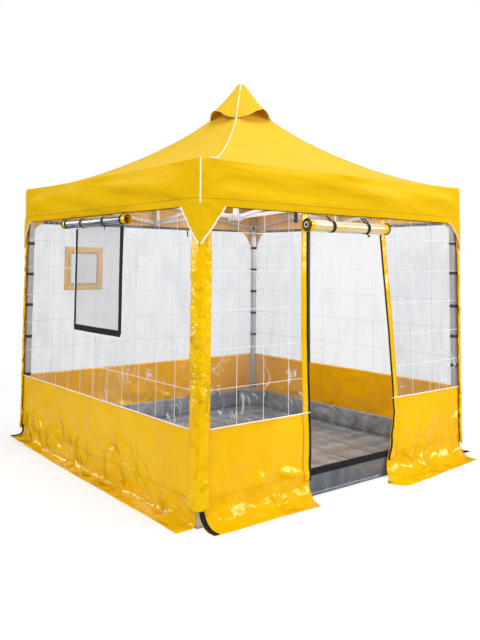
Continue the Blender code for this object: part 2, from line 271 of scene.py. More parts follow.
def wall_point(turn, s, h, out=0.0):
    """A point on a wall's cloth, or out metres in front of it."""
    out += wrinkle(turn, s, h)
    if h >= SEAM:
        return side_point(turn, s, WALL + out, h)
    bend = FLAPS[turn]["bend"]
    lift = flap_lift(turn, s)
    down = SEAM - h
    upright = SEAM - bend - lift
    curved = math.pi / 2 * bend
    if down <= upright:
        d, z, tilt = 0.0, SEAM - down, 0.0
    elif down <= upright + curved:
        tilt = (down - upright) / bend
        d, z = bend * (1 - math.cos(tilt)), bend * (1 - math.sin(tilt)) + lift
    else:
        tilt = math.pi / 2
        d, z = bend + down - upright - curved, lift
    d += out * math.cos(tilt)
    z = max(z + out * math.sin(tilt) + 0.0035, 0.0016)
    return side_point(turn, s, WALL + d, z)


def on_wall(turn, s, h, out):
    """A point on a wall's cloth, and the direction in which the cloth faces there."""
    reach = 0.004
    along = wall_point(turn, s + reach, h) - wall_point(turn, s - reach, h)
    up = wall_point(turn, s, h + reach) - wall_point(turn, s, h - reach)
    return wall_point(turn, s, h, out), along.cross(up).normalized()


# Materials

# Sockets of a Mix node that blends colours
MIX_FIRST, MIX_SECOND, MIX_RESULT = 6, 7, 2

SOCKETS = {
    "colour": "Base Color", "roughness": "Roughness", "normal": "Normal", "alpha": "Alpha",
    "metallic": "Metallic", "specular": "Specular IOR Level", "tint": "Specular Tint",
    "glow_colour": "Emission Color", "glow": "Emission Strength",
}


class Nodes:
    """Adds nodes to a tree and links them."""

    def __init__(self, tree):
        self.tree = tree

    def node(self, kind, **settings):
        made = self.tree.nodes.new("ShaderNode" + kind)
        for key, value in settings.items():
            setattr(made, key, value)
        return made

    def put(self, value, socket):
        """Gives a socket a number or a colour, or links it to a node's output."""
        if isinstance(value, (int, float)):
            socket.default_value = value
        elif isinstance(value, tuple):
            socket.default_value = (*value, 1.0)
        else:
            self.tree.links.new(value, socket)

    def math(self, operation, *values):
        made = self.node("Math", operation=operation)
        for socket, value in zip(made.inputs, values):
            self.put(value, socket)
        return made.outputs[0]

    def product(self, first, second):
        return self.math("MULTIPLY", first, second)


class Finish(Nodes):
    """A node material on the object's own coordinates, built up step by step."""

    def __init__(self, name):
        self.material = bpy.data.materials.new(name)
        self.material.use_nodes = True
        super().__init__(self.material.node_tree)
        self.place = self.node("TexCoord").outputs["Object"]

    def stretched(self, scale, turn=(0, 0, 0)):
        mapping = self.node("Mapping")
        mapping.inputs["Scale"].default_value = scale
        mapping.inputs["Rotation"].default_value = turn
        self.put(self.place, mapping.inputs["Vector"])
        return mapping.outputs["Vector"]

    def texture(self, made, vector, output, **values):
        """The output of a texture node read at a vector, with its other inputs by name."""
        self.put(vector, made.inputs["Vector"])
        for name, value in values.items():
            made.inputs[name.title()].default_value = value
        return made.outputs[output]

    def noise(self, scale, detail=3.0, roughness=0.5, distortion=0.0, stretch=(1, 1, 1), turn=(0, 0, 0)):
        return self.texture(self.node("TexNoise"), self.stretched(stretch, turn), "Fac", scale=scale,
                            detail=detail, roughness=roughness, distortion=distortion)

    def cells(self, scale, vector, feature):
        return self.texture(self.node("TexVoronoi", feature=feature), vector, "Distance", scale=scale)

    def facets(self, scale, warp=0.35, stretch=(1, 1, 1)):
        """Flat patches between sharp creases, of the size 1 / scale."""
        mild = self.texture(self.node("TexNoise"), self.stretched(stretch), "Color", scale=scale * 0.45)
        shifted = self.node("VectorMath", operation="MULTIPLY_ADD")
        self.put(mild, shifted.inputs[0])
        shifted.inputs[1].default_value = (warp, warp, warp)
        self.put(self.stretched(stretch), shifted.inputs[2])
        return self.cells(scale, shifted.outputs["Vector"], "DISTANCE_TO_EDGE")

    def threads(self, scale, direction):
        return self.texture(self.node("TexWave", bands_direction=direction), self.place, "Fac", scale=scale)

    def upward(self, vector):
        """A vector's Z; that of the place shaded is its height above the ground."""
        split = self.node("SeparateXYZ")
        self.put(vector, split.inputs["Vector"])
        return split.outputs["Z"]

    def lines(self, source, middle, width):
        """Thin bright lines where a soft pattern passes its middle value."""
        away = self.math("ABSOLUTE", self.math("SUBTRACT", source, middle))
        return self.graded(away, 0.0, width, 1.0, 0.0)

    def graded(self, source, low, high, to_low=0.0, to_high=1.0):
        made = self.node("MapRange")
        self.put(source, made.inputs["Value"])
        for name, value in (("From Min", low), ("From Max", high), ("To Min", to_low), ("To Max", to_high)):
            made.inputs[name].default_value = value
        return made.outputs["Result"]

    def blend(self, share, first, second):
        """A colour between two, as the share goes from 0 to 1."""
        made = self.node("Mix", data_type="RGBA")
        self.put(share, made.inputs["Factor"])
        self.put(first, made.inputs[MIX_FIRST])
        self.put(second, made.inputs[MIX_SECOND])
        return made.outputs[MIX_RESULT]

    def bump(self, height, strength, distance, below=None):
        """A relief, laid over the one below it if there is one."""
        made = self.node("Bump")
        made.inputs["Strength"].default_value = strength
        made.inputs["Distance"].default_value = distance
        self.put(height, made.inputs["Height"])
        if below is not None:
            self.put(below, made.inputs["Normal"])
        return made.outputs["Normal"]

    def set(self, **values):
        for name, value in values.items():
            self.put(value, self.tree.nodes["Principled BSDF"].inputs[SOCKETS[name]])
        return self.material


def canvas_finish(name, light, deep, sky_sheen=0.0, glow=0.0):
    """Coated polyester: an even colour, a fine weave, soft blotches, and a painted sheen that makes it paler
    where it faces the sky.
    """
    f = Finish(name)
    tone = f.graded(f.noise(1.7, 3.0), 0.3, 0.7)
    fine = f.graded(f.noise(38.0, 4.0), 0.3, 0.7, 0.0, 0.35)
    colour = f.blend(f.product(f.math("ADD", tone, fine), 0.6), light, deep)
    # Painted sheen: the colour turns paler where the surface faces up, standing in for light from the sky.
    facing = f.upward(f.node("NewGeometry").outputs["Normal"])
    colour = f.blend(f.graded(facing, 0.35, 0.95, 0.0, sky_sheen), colour, (0.82, 0.57, 0.09))
    weave = f.math("ADD", f.threads(420.0, "X"), f.math("ADD", f.threads(420.0, "Y"), f.threads(420.0, "Z")))
    slack = f.noise(2.2, 3.0, 0.45, 0.5, stretch=(1, 1, 3.2))
    normal = f.bump(f.noise(11.0, 4.0, 0.55), 0.10, 0.006, f.bump(slack, 1.0, 0.045))
    normal = f.bump(weave, 0.10, 0.0006, normal)
    roughness = f.graded(f.noise(14.0), 0.3, 0.7, 0.48, 0.60)
    # glow, where given, is a painted glow standing in for light coming through the cloth.
    return f.set(colour=colour, roughness=roughness, normal=normal, specular=0.0,
                 glow_colour=(1, 0.50, 0.01), glow=glow)


def vinyl_finish(name, light, deep, large=4.2, small=9.0, stretch=(1, 1, 1), depth=1.0, low_down=True,
                 gloss=0.50, crease_depth_and_shade=0.14, ripple=2.6):
    """Glossy coated fabric: flat patches between the small sharp creases of stiff vinyl, with painted shade
    in the creases.
    """
    f = Finish(name)
    colour = f.blend(f.graded(f.noise(2.6, 4.0, 0.6), 0.32, 0.68), light, deep)
    creases = f.noise(ripple, 3.0, 0.55, 1.1, stretch=(1.0, 1.0, 0.75), turn=(0.3, 0.3, 0.2))
    # Painted shade: the colour darkens to a deeper orange along the creases.
    colour = f.blend(f.graded(creases, 0.50, 0.66, 0.0, crease_depth_and_shade), colour, (0.66, 0.33, 0.001))
    broad = f.facets(large, 0.35, stretch)
    fine = f.facets(small, 0.16, stretch)
    share = f.graded(f.noise(1.7, 2.0), 0.44, 0.60, 0.15, 1.0)
    if low_down:
        share = f.product(share, f.graded(f.upward(f.place), 0.14, 0.42, 1.0, 0.28))
    normal = f.bump(creases, 1.0, 0.25 * crease_depth_and_shade / ripple)
    normal = f.bump(f.product(broad, share), 1.0, 0.110 * depth, normal)
    normal = f.bump(f.product(fine, share), 1.0, 0.018 * depth, normal)
    roughness = f.graded(f.noise(7.0), 0.3, 0.7, 0.11, 0.19)
    return f.set(colour=colour, roughness=roughness, normal=normal, specular=gloss, tint=(1.0, 0.84, 0.34))


def film_finish(name, veil, clear, highlight_alpha, upper_glint_share=0.05):
    """Clear vinyl film: see-through and bluish, with soft upright painted highlight streaks, short painted
    glints along its crinkles, and patches of painted shade.
    """
    f = Finish(name)
    upright = f.noise(2.0, 2.0, 0.4, 0.4, stretch=(2.0, 2.0, 0.32))
    curl = f.noise(4.2, 2.0, 0.5, 1.8, stretch=(1.3, 1.3, 0.7))
    fold = f.noise(2.6, 2.0, 0.45, 0.7, stretch=(1.6, 1.6, 0.7), turn=(0.5, 0.4, 0.3))
    # Painted highlights: upright streaks, curly glints and crease lines whiten the film and make it less
    # clear; the glints fade out higher up.
    low_down = f.graded(f.upward(f.place), 0.80, 1.10, 1.0, upper_glint_share)
    patchy = f.product(f.graded(f.noise(6.0, 1.0), 0.50, 0.58), low_down)
    broken = f.product(f.graded(f.noise(7.0, 1.0), 0.52, 0.60, 0.0, 0.8), low_down)
    glint = f.product(f.lines(curl, 0.5, 0.022), patchy)
    crease = f.product(f.lines(fold, 0.47, 0.016), broken)
    highlight_streak = f.graded(upright, 0.50, 0.72, 0.0, 0.20)
    bright = f.math("MAXIMUM", f.math("MAXIMUM", glint, crease), highlight_streak)
    # Painted shade: patches where the bluish veil thickens.
    shade = f.graded(f.noise(3.4, 3.0, 0.55, 1.2, stretch=(1.4, 1.4, 0.55)), 0.46, 0.66, 0.0, 0.09)
    alpha = f.math("ADD", f.graded(bright, 0.0, 1.0, clear, highlight_alpha), shade)
    return f.set(colour=f.blend(bright, veil, (1.0, 1.0, 1.0)), roughness=0.10, alpha=alpha,
                 normal=f.bump(upright, 0.5, 0.05), specular=0.6)


def rolled_finish(name, light, warm, dark, stretch):
    """Clear film wound on itself: stripes of colour from its layers, with painted shine and painted shade
    along the roll.
    """
    f = Finish(name)
    stripes = f.noise(3.0, 3.0, 0.6, 0.3, stretch=stretch)
    streaks = f.noise(5.0, 3.0, 0.6, 0.5, stretch=stretch)
    # The light stripes are painted shine and the dark streaks painted shade.
    colour = f.blend(f.graded(stripes, 0.42, 0.58), warm, light)
    colour = f.blend(f.graded(streaks, 0.56, 0.64), colour, dark)
    return f.set(colour=colour, roughness=0.16, normal=f.bump(streaks, 0.5, 0.004), specular=0.9)


def tape_finish(name, light, deep, fuzz=0.3):
    """Woven or hook-and-loop tape: matt, with a coarse pile."""
    f = Finish(name)
    pile = f.noise(180.0, 3.0, 0.7)
    return f.set(colour=f.blend(pile, light, deep), roughness=f.graded(pile, 0.3, 0.7, 0.72, 0.92),
                 normal=f.bump(pile, fuzz, 0.002), specular=0.25)


def screen_finish():
    """Grey insect mesh: a fine net, half see-through."""
    f = Finish("insect_mesh")
    net = f.math("MAXIMUM", f.threads(150.0, "Y"), f.threads(150.0, "Z"))
    colour = f.blend(f.noise(3.0, 2.0), (0.30, 0.30, 0.32), (0.42, 0.42, 0.44))
    alpha = f.graded(net, 0.0, 1.0, 0.18, 0.52)
    return f.set(colour=colour, roughness=0.9, alpha=alpha, normal=f.bump(net, 0.3, 0.001), specular=0.2)


def groundsheet_finish(name, slate, dusty, pale, ripple_sheen, relief):
    """Slate grey coated sheet, half gloss, with long soft ripples, a painted sheen along them, and a little
    dust.
    """
    f = Finish(name)
    along_x = f.noise(2.0, 3.0, 0.45, 0.2, stretch=(0.30, 4.2, 1))
    along_y = f.noise(2.4, 3.0, 0.45, 0.2, stretch=(4.0, 0.30, 1))
    # Painted sheen: the colour turns paler along the ripples.
    streaks = f.graded(f.math("ADD", along_x, along_y), 0.92, 1.16, 0.0, ripple_sheen)
    colour = f.blend(f.graded(f.noise(0.8, 2.0), 0.40, 0.60), slate, dusty)
    upstand = f.product(f.facets(6.0, 0.25), f.graded(f.upward(f.place), 0.02, 0.05, 0.10, 1.0))
    normal = f.bump(along_x, 0.35, 0.05, f.bump(along_y, 0.3, 0.05, f.bump(upstand, 1.0, relief)))
    normal = f.bump(f.noise(70.0, 4.0), 0.06, 0.001, normal)
    roughness = f.graded(f.noise(8.0), 0.3, 0.7, 0.20, 0.34)
    return f.set(colour=f.blend(streaks, colour, pale), roughness=roughness, normal=normal, specular=0.6)


def steel_finish(name, light, deep):
    """Galvanised tube: fine lengthwise brushing and pale spangle."""
    f = Finish(name)
    brushed = f.noise(60.0, 3.0, 0.6, stretch=(1, 1, 0.04))
    spangle = f.cells(90.0, f.place, "F1")
    return f.set(colour=f.blend(f.product(f.math("ADD", brushed, spangle), 0.6), light, deep), metallic=0.35,
                 roughness=f.graded(brushed, 0.3, 0.7, 0.22, 0.42), normal=f.bump(brushed, 0.15, 0.0008))


canvas = canvas_finish("yellow_canvas", (0.81, 0.500, 0.008), (0.77, 0.450, 0.005), sky_sheen=0.6)
# The inner face: a paler copy of the canvas with a faint painted glow, standing in for daylight shining
# through the cloth.
canvas_inside_lit = canvas_finish("canvas_inside_lit", (0.90, 0.52, 0.006), (0.86, 0.46, 0.004), glow=0.08)
vinyl = vinyl_finish("yellow_vinyl", (0.98, 0.580, 0.001), (0.94, 0.515, 0.001))
crinkled_vinyl = vinyl_finish("crinkled_vinyl", (0.97, 0.600, 0.002), (0.93, 0.530, 0.001), 7.5, 16.0,
                              (1, 1, 1.6), 0.35, low_down=False, gloss=0.26, crease_depth_and_shade=0.55, ripple=13.0)
# The inner face: a darker, more orange copy of the vinyl, painted shade for the inside of the tent.
vinyl_inside_shaded = vinyl_finish("vinyl_inside_shaded", (0.86, 0.45, 0.002), (0.80, 0.39, 0.001), 3.5, 9.0, depth=0.25)
film = film_finish("clear_film", (0.15, 0.20, 0.28), 0.110, 0.74)
# The same film on the far walls, with a paler, more opaque veil: painted light for how they look seen
# through the tent.
far_film = film_finish("far_clear_film", (0.44, 0.50, 0.62), 0.20, 0.50, 0.0)
pane_film = film_finish("window_pane_film", (0.36, 0.40, 0.48), 0.34, 0.70)
rolled_door_film = rolled_finish("rolled_door_film", (0.80, 0.78, 0.70), (0.80, 0.58, 0.16),
                                 (0.34, 0.33, 0.30), (0.35, 9.0, 9.0))
rolled_window_film = rolled_finish("rolled_window_film", (0.36, 0.39, 0.44), (0.050, 0.058, 0.075),
                                   (0.03, 0.035, 0.045), (9.0, 0.5, 9.0))
screen = screen_finish()
black_tape = tape_finish("black_hook_tape", (0.006, 0.006, 0.009), (0.018, 0.018, 0.024), 0.6)
black_strap = tape_finish("black_strap", (0.010, 0.010, 0.014), (0.030, 0.030, 0.038))
dark_strip = tape_finish("grey_strip", (0.07, 0.075, 0.085), (0.13, 0.135, 0.15))
white_piping = tape_finish("white_piping", (0.95, 0.92, 0.83), (0.88, 0.84, 0.72), 0.2)
pale_hem = tape_finish("pale_hem", (0.95, 0.78, 0.34), (0.90, 0.70, 0.26), 0.2)
white_thread = tape_finish("white_thread", (0.90, 0.90, 0.92), (0.84, 0.84, 0.87), 0.2)
yellow_thread = tape_finish("yellow_stitching", (0.50, 0.27, 0.004), (0.40, 0.20, 0.003))
dark_plastic = tape_finish("dark_plastic", (0.030, 0.030, 0.034), (0.050, 0.050, 0.056), 0.1)
slate_vinyl = groundsheet_finish("slate_groundsheet", (0.090, 0.106, 0.130), (0.105, 0.110, 0.120),
                                 (0.20, 0.21, 0.23), 0.4, 0.020)
grey_vinyl = groundsheet_finish("grey_groundsheet", (0.165, 0.198, 0.245), (0.205, 0.215, 0.232),
                                (0.36, 0.39, 0.44), 0.75, 0.030)
steel = steel_finish("galvanised_steel", (0.66, 0.65, 0.65), (0.48, 0.475, 0.48))
# A paler copy of the steel, painted light for the leg feet that sit in shade.
lit_steel = steel_finish("lit_steel_feet", (0.92, 0.93, 0.95), (0.80, 0.81, 0.83))


# Mesh helpers


def finish_piece(name, data):
    obj = bpy.data.objects.new(name, data)
    bpy.context.scene.collection.objects.link(obj)
    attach(obj, "root")
    return obj


@contextmanager
def mesh_edit(obj):
    """The object's mesh as a bmesh, written back when the work on it is done."""
    bm = bmesh.new()
    bm.from_mesh(obj.data)
    yield bm
    bm.to_mesh(obj.data)
    bm.free()


def mesh_object(name, vertices, faces, materials, indices=None):
    mesh = bpy.data.meshes.new(name)
    mesh.from_pydata(vertices, [], faces)
    for material in materials:
        mesh.materials.append(material)
    if indices is not None:
        mesh.polygons.foreach_set("material_index", indices)
    mesh.shade_smooth()
    mesh.update()
    return finish_piece(name, mesh)


def surface(name, rows, materials, closed=False, thickness=0.0, indices=None):
    """A sheet through rows of points; rows run down and each runs to the right, so it faces out."""
    width = len(rows[0])
    vertices = [point for row in rows for point in row]
    faces = []
    for i in range(0, len(vertices) - width, width):
        for j in range(width if closed else width - 1):
            k = (j + 1) % width
            faces.append((i + j, i + width + j, i + width + k, i + k))
    obj = mesh_object(name, vertices, faces, materials, indices)
    if thickness:
        solid = obj.modifiers.new("thickness", "SOLIDIFY")
        solid.thickness = thickness
        solid.offset = -1.0
        solid.material_offset = len(materials) - 1
    return obj


def fill_ring(obj, ring):
    """Closes the hole inside a ring of vertices, given as a slice of the mesh's vertices."""
    with mesh_edit(obj) as bm:
        bm.verts.ensure_lookup_table()
        inside = set(bm.verts[ring])
        rim = [edge for edge in bm.edges if edge.is_boundary and edge.verts[0] in inside]
        bmesh.ops.contextual_create(bm, geom=rim)
    obj.data.shade_smooth()


def wall_sheet(name, turn, left, right, top, bottom, materials, out=0.0, thickness=0.0, step=STEP):
    """A panel that follows the wall's own folds."""
    widest = edge_at(right, (top + bottom) / 2) - edge_at(left, (top + bottom) / 2)
    shares = steps(0.0, 1.0, step / abs(widest))
    rows = [[wall_point(turn, s, h, out) for s in across(left, right, h, shares)]
            for h in steps(top, bottom, step)]
    return surface(name, rows, materials, thickness=thickness)


def tubes(name, paths, radius, material, closed=False):
    """Round piping or cord along one or more paths."""
    curve = bpy.data.curves.new(name, "CURVE")
    curve.dimensions = "3D"
    curve.bevel_depth = radius
    curve.bevel_resolution = 2
    curve.use_fill_caps = not closed
    for path in paths:
        spline = curve.splines.new("POLY")
        spline.points.add(len(path) - 1)
        for point, place in zip(spline.points, path):
            point.co = (*place, 1.0)
        spline.use_cyclic_u = closed
    curve.materials.append(material)
    return finish_piece(name, curve)


def ribbons(name, paths, width, thickness, material, closed=False):
    """Flat tape along paths of (point, outward normal) pairs, lying on what is under it."""
    vertices, faces = [], []
    for path in paths:
        count = len(path)
        first = len(vertices)
        for i, (point, normal) in enumerate(path):
            before = path[i - 1][0] if i or closed else path[0][0]
            after = path[(i + 1) % count][0] if i + 1 < count or closed else path[-1][0]
            side = (after - before).cross(normal).normalized() * width / 2
            lift = normal.normalized() * thickness
            vertices += [point - side, point + side, point + side + lift, point - side + lift]
        for i in range(count if closed else count - 1):
            a, b = first + 4 * i, first + 4 * ((i + 1) % count)
            for j in range(4):
                k = (j + 1) % 4
                faces.append((a + j, b + j, b + k, a + k))
        if not closed:
            faces.append((first, first + 3, first + 2, first + 1))
            last = first + 4 * (count - 1)
            faces.append((last, last + 1, last + 2, last + 3))
    obj = mesh_object(name, vertices, faces, [material])
    with mesh_edit(obj) as bm:
        bmesh.ops.recalc_face_normals(bm, faces=bm.faces)
    obj.data.set_sharp_from_angle(angle=math.radians(40))
    return obj


def solids(name, bm, material, sharp=None):
    """A piece from a finished bmesh, shaded smooth below the angle given in degrees."""
    mesh = bpy.data.meshes.new(name)
    bm.to_mesh(mesh)
    bm.free()
    mesh.materials.append(material)
    if sharp is not None:
        mesh.shade_smooth()
        mesh.set_sharp_from_angle(angle=math.radians(sharp))
    return finish_piece(name, mesh)


def line_points(ends, spacing=0.02):
    """Evenly spread (s, h) points along a line with corners."""
    points = []
    for start, end in zip(ends, ends[1:]):
        length = math.dist(start, end)
        for share in steps(0.0, 1.0, spacing / max(length, spacing)):
            if share or not points:
                points.append(between(start, end, share))
    return points


def wall_path(turn, ends, out, spacing=0.02):
    """Points and normals along a wall's cloth, between (s, h) corners."""
    return [on_wall(turn, s, h, out) for s, h in line_points(ends, spacing)]


def stitches(turn, ends, out, length=0.011, gap=0.007):
    """Short runs of thread along a line on the cloth."""
    paths = []
    for start, end in zip(ends, ends[1:]):
        whole = math.dist(start, end)
        for i in range(int(whole / (length + gap))):
            share = i * (length + gap) / whole
            shares = (share, share + length / whole)
            paths.append([on_wall(turn, *between(start, end, q), out) for q in shares])
    return paths


# Canopy


def roof_height(r):
    t = 1 - r / HALF
    return EAVE + ROOF_RISE * t ** ROOF_POWER + NECK_RISE * t ** NECK_POWER


def roof_point(r, x, y):
    """A point of the roof on the level square 2r wide; x and y run from -1 to 1."""
    t = 1 - r / HALF
    toward_front_hip = max(0.0, -x) * max(0.0, -y)
    sag = FRONT_HIP_SAG * toward_front_hip ** 2 * math.sin(math.pi * min(1.0, t * 1.15)) ** 0.8
    place = Vector((x * r, y * r, roof_height(r) - sag)) + PEAK_SHIFT * t
    hip = min(abs(x), abs(y))
    soft = 0.010 * wave(place.x * 1.5, place.y * 1.5, 3.0) * smooth(0.0, 0.12, t)
    tension = 0.003 * crumple(place.x * 2.6, place.y * 2.6, 8.0) * smooth(0.02, 0.2, t)
    scallop = 0.012 * math.sin(math.pi * min(1.0, t * 4.0)) * (1 - hip ** 2)
    place.z += (soft + tension) * (1 - smooth(0.80, 1.0, hip)) - scallop * smooth(1.0, 0.2, hip)
    return place


def flap_bottom(turn, s):
    """Height of the valance's lower edge; it drops to a point at each corner."""
    bottom = EAVE - VALANCE_DROP
    a = HALF - abs(s)
    if a >= FLAP_WIDTH:
        return bottom
    straight = turn == FRONT and s < 0 or turn == LEFT and s > 0
    return bottom - FLAP_DROP * (1 - a / FLAP_WIDTH) ** (1.0 if straight else FLAP_CURVE)


def eave_softness(s):
    """How far the eave rounds inward; little at the corners and over the frame's middle arms."""
    over_arm = 1 - 0.85 * math.exp(-(s / 0.24) ** 2)
    return 0.034 * smooth(0.05, 0.42, HALF - abs(s)) * over_arm


def valance_fold(turn, s, z):
    """How far the valance stands out from its plane."""
    a = HALF - abs(s)
    held = smooth(0.0, 0.22, a)
    drop = EAVE - z
    below = smooth(0.04, 0.14, drop)
    broad = 0.030 * (wave(s * 1.1, z * 1.2, 61 + turn * 5) + 0.40)
    lengthwise = 0.055 * (wave(s * 0.8, z * 8.0 + s * 1.3, 67 + turn * 5) + 0.30) * smooth(0.30, 0.16, drop)
    upright = 0.004 * wave(s * 5.0, z * 1.2, 71 + turn * 5) * smooth(0.1, 0.28, drop)
    loose = max(-0.004, (broad + lengthwise) * below + upright) * held
    fan = (0.26 - abs(wave(s * 1.6, z * 13.0 + a * 6, 79 + turn * 5))) * 0.034 * math.exp(-a / 0.22)
    pulled = max(-0.004, fan) * smooth(0.08, 0.13, drop) * smooth(0.0, 0.03, a)
    tack = -0.006 * math.exp(-((drop - 0.103) / 0.009) ** 2) * smooth(0.07, 0.03, a) * smooth(0.0, 0.012, a)
    doubled = 0.0055 * smooth(0.040, 0.030, a) * smooth(0.108, 0.098, drop) * smooth(0.0, 0.02, drop)
    over_sleeve = 0.009 * smooth(0.20, 0.30, drop) * smooth(0.24, 0.14, a)
    rounded = eave_softness(s) * (1 - min(1.0, max(0.0, drop - 0.012) / 0.085)) ** 2
    return loose + pulled + tack + doubled + over_sleeve - rounded


def valance_point(turn, s, z, out=0.0):
    return side_point(turn, s, HALF + valance_fold(turn, s, z) + out, z)


def side_columns():
    """Places along a side, close together near its corners where the flaps are."""
    near = [0.0, 0.006, 0.016, 0.030, 0.046, 0.064, 0.084, 0.104, 0.124, 0.142, 0.158, 0.170, 0.192]
    start = [-HALF + a for a in near]
    middle = steps(-HALF + near[-1], HALF - near[-1], 0.028)[1:-1]
    return start + middle + [-s for s in reversed(start[1:])]


def above_eave(turn, s, share):
    """A roof point over place s of a side: share runs from the neck to the eave."""
    r = NECK_HALF + (HALF - EAVE_ROUND - eave_softness(s) - NECK_HALF) * share ** 1.15
    corner = turned((s / HALF, -1, 0), turn)
    return roof_point(r, corner.x, corner.y)


def round_eave(turn, s, degrees):
    bend = math.radians(degrees)
    z = EAVE - EAVE_ROUND * (1 - math.cos(bend))
    d = HALF - eave_softness(s) - EAVE_ROUND * (1 - math.sin(bend))
    return side_point(turn, s * d / HALF, d, z)


def below_eave(turn, s, share):
    top = EAVE - EAVE_ROUND
    return valance_point(turn, s, top + (flap_bottom(turn, s) - top) * share)


def build_canopy():
    """One continuous cover: roof, rounded eave, valance and the pointed corner flaps."""
    columns = side_columns()
    rings = [(above_eave, share) for share in steps(0.0, 1.0, 1 / 52)]
    rings += [(round_eave, angle) for angle in (30, 60)]
    rings += [(below_eave, share) for share in steps(0.0, 1.0, 1 / 34)]
    rows = [[place(turn, s, along) for turn in range(4) for s in columns] for place, along in rings]
    cover = surface("canopy_cover", rows, [canvas, canvas_inside_lit], closed=True,
                    thickness=CANVAS_THICKNESS)
    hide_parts("roof_canopy", *[f"valance_{side}" for side in SIDE_NAMES])


def hip_path(turn, lift):
    """Up the roof hip at the left end of a side; the front one turns along the eave at its foot."""
    path, start = [], HALF - 0.004
    if turn == FRONT:
        path = [side_point(FRONT, s, HALF + 0.001, EAVE - 0.001) for s in (-1.184, -1.160, -1.135)]
        start = 0.90
    corner = turned((-1, -1, 0), turn)
    for r in steps(start, HOOD_TIE, 0.03):
        path.append(roof_point(r, corner.x, corner.y) + Vector((0, 0, lift)))
    return path


def hood_edge(angle):
    """The hood's lower edge: its four tips lie on the roof's hips and it arches between them."""
    eighth, quarter = math.radians(45), math.radians(90)
    tip = abs(math.sin(2 * angle))
    front = max(0.0, -math.cos(angle - eighth))
    radius = HOOD_RADIUS + HOOD_FRONT_REACH * smooth(0.80, 1.0, front)
    r = radius / math.sqrt(2)
    rise = HOOD_ARCH_RISE * (1 - tip ** 2.2) ** 0.8 * (1 - 0.35 * smooth(0.55, 0.9, front))
    hip = eighth + quarter * round((angle - eighth) / quarter)
    on_hip = roof_point(r, math.sqrt(2) * math.cos(hip), math.sqrt(2) * math.sin(hip))
    edge = Vector((radius * math.cos(angle), radius * math.sin(angle), on_hip.z + 0.003 + rise))
    return edge + PEAK_SHIFT * (1 - r / HALF)


def hood_point(angle, q, lift=0.0):
    """A point of the vent hood: q runs from 0 at the blunt top to 1 at its edge."""
    edge = hood_edge(angle)
    apex = Vector((0, 0, PEAK + HOOD_BLUNT)) + PEAK_SHIFT
    start = HOOD_BLUNT / (apex.z - edge.z)
    point = apex.lerp(edge, start + (1 - start) * q)
    facing = Vector((math.cos(angle), math.sin(angle), 0.8)).normalized()
    between_tips = abs(math.cos(2 * angle))
    slack = 0.012 * math.sin(math.pi * q) * between_tips
    fold = 0.011 * crumple(math.cos(angle) * 1.6, math.sin(angle) * 1.6, point.z * 5) * q * between_tips
    return point + facing * (fold - slack + lift)


def build_hood():
    count, top = 128, 0.004
    angles = [2 * math.pi * i / count for i in range(count)]
    centre = Vector((0, 0, PEAK)) + PEAK_SHIFT
    rows = [[centre + Vector((top * math.cos(a), top * math.sin(a), 0)) for a in angles]]
    rows += [[hood_point(a, q) for a in angles] for q in steps(0.0, 1.0, 1 / 24)]
    hood = surface("vent_hood_cloth", rows, [canvas, canvas], closed=True,
                   thickness=CANVAS_THICKNESS)
    fill_ring(hood, slice(0, count))
    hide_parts("vent_hood")
    hem = [hood_point(a, 1.0, -0.0008) for a in angles]
    tubes("hood_hem", [hem], 0.0024, pale_hem, closed=True)


def build_canopy_piping():
    """White piping over the hips and hood, down the corners and round the flaps."""
    radius = 0.0046
    hips, corners, flaps, curved_flaps = [], [], [], []
    for turn in range(4):
        hip_angle = math.radians(225 + 90 * turn)
        over_hood = [hood_point(hip_angle, q, 0.003) for q in steps(1.0, 0.0, 0.05)]
        hips.append(hip_path(turn, 0.004) + over_hood)
        corner = []
        for z in steps(EAVE - 0.002, EAVE - VALANCE_DROP + 0.012, 0.02):
            point = side_point(turn, -HALF, HALF, z)
            corner.append(point + Vector((point.x, point.y, 0)).normalized() * 0.002)
        corners.append(corner)
        for side, sign in ((turn, -1), ((turn + 3) % 4, 1)):
            places = [sign * (HALF - a) for a in steps(0.0, FLAP_WIDTH, 0.012)]
            path = [valance_point(side, s, flap_bottom(side, s), 0.001) for s in places]
            (flaps if turn == FRONT else curved_flaps).append(path)
    tubes("hip_piping", hips, radius * 0.9, white_piping)
    tubes("corner_piping", corners, radius, white_piping)
    tubes("flap_piping", flaps, radius * 1.15, white_piping)
    tubes("curved_flap_piping", curved_flaps, radius * 0.6, white_piping)


def on_valance(turn, places, out, facing=-1):
    """Points and normals at (s, z) places of a valance; facing is 1 on its inner side."""
    return [(valance_point(turn, s, z, out), turned((0, facing, 0), turn)) for s, z in places]


def build_valance_hem():
    """The stitched hem and corner seams, and the black tape just inside the valance's lower edge."""
    bottom = EAVE - VALANCE_DROP
    seam_foot = EAVE - 0.104
    lines, tapes = [], []
    for turn in range(4):
        hem = [(s, bottom + 0.045) for s in steps(-HALF + 0.004, HALF - 0.004, 0.02)]
        lines.append(on_valance(turn, hem, 0.0002))
        tape = [(s, bottom + 0.009) for s in steps(-HALF + FLAP_WIDTH, HALF - FLAP_WIDTH, 0.03)]
        tapes.append(on_valance(turn, tape, -0.004, facing=1))
        for sign in (-1, 1):
            near, far = sign * (HALF - 0.010), sign * (HALF - 0.040)
            lines.append(on_valance(turn, [(s, seam_foot) for s in steps(near, far, 0.0075)], 0.0004))
            lines.append(on_valance(turn, [(far, z) for z in steps(EAVE - 0.016, seam_foot, 0.01)], 0.0004))
    ribbons("valance_hem_stitching", lines, 0.0022, 0.0005, yellow_thread)
    ribbons("valance_inner_tape", tapes, 0.025, 0.0012, black_tape)


# Walls


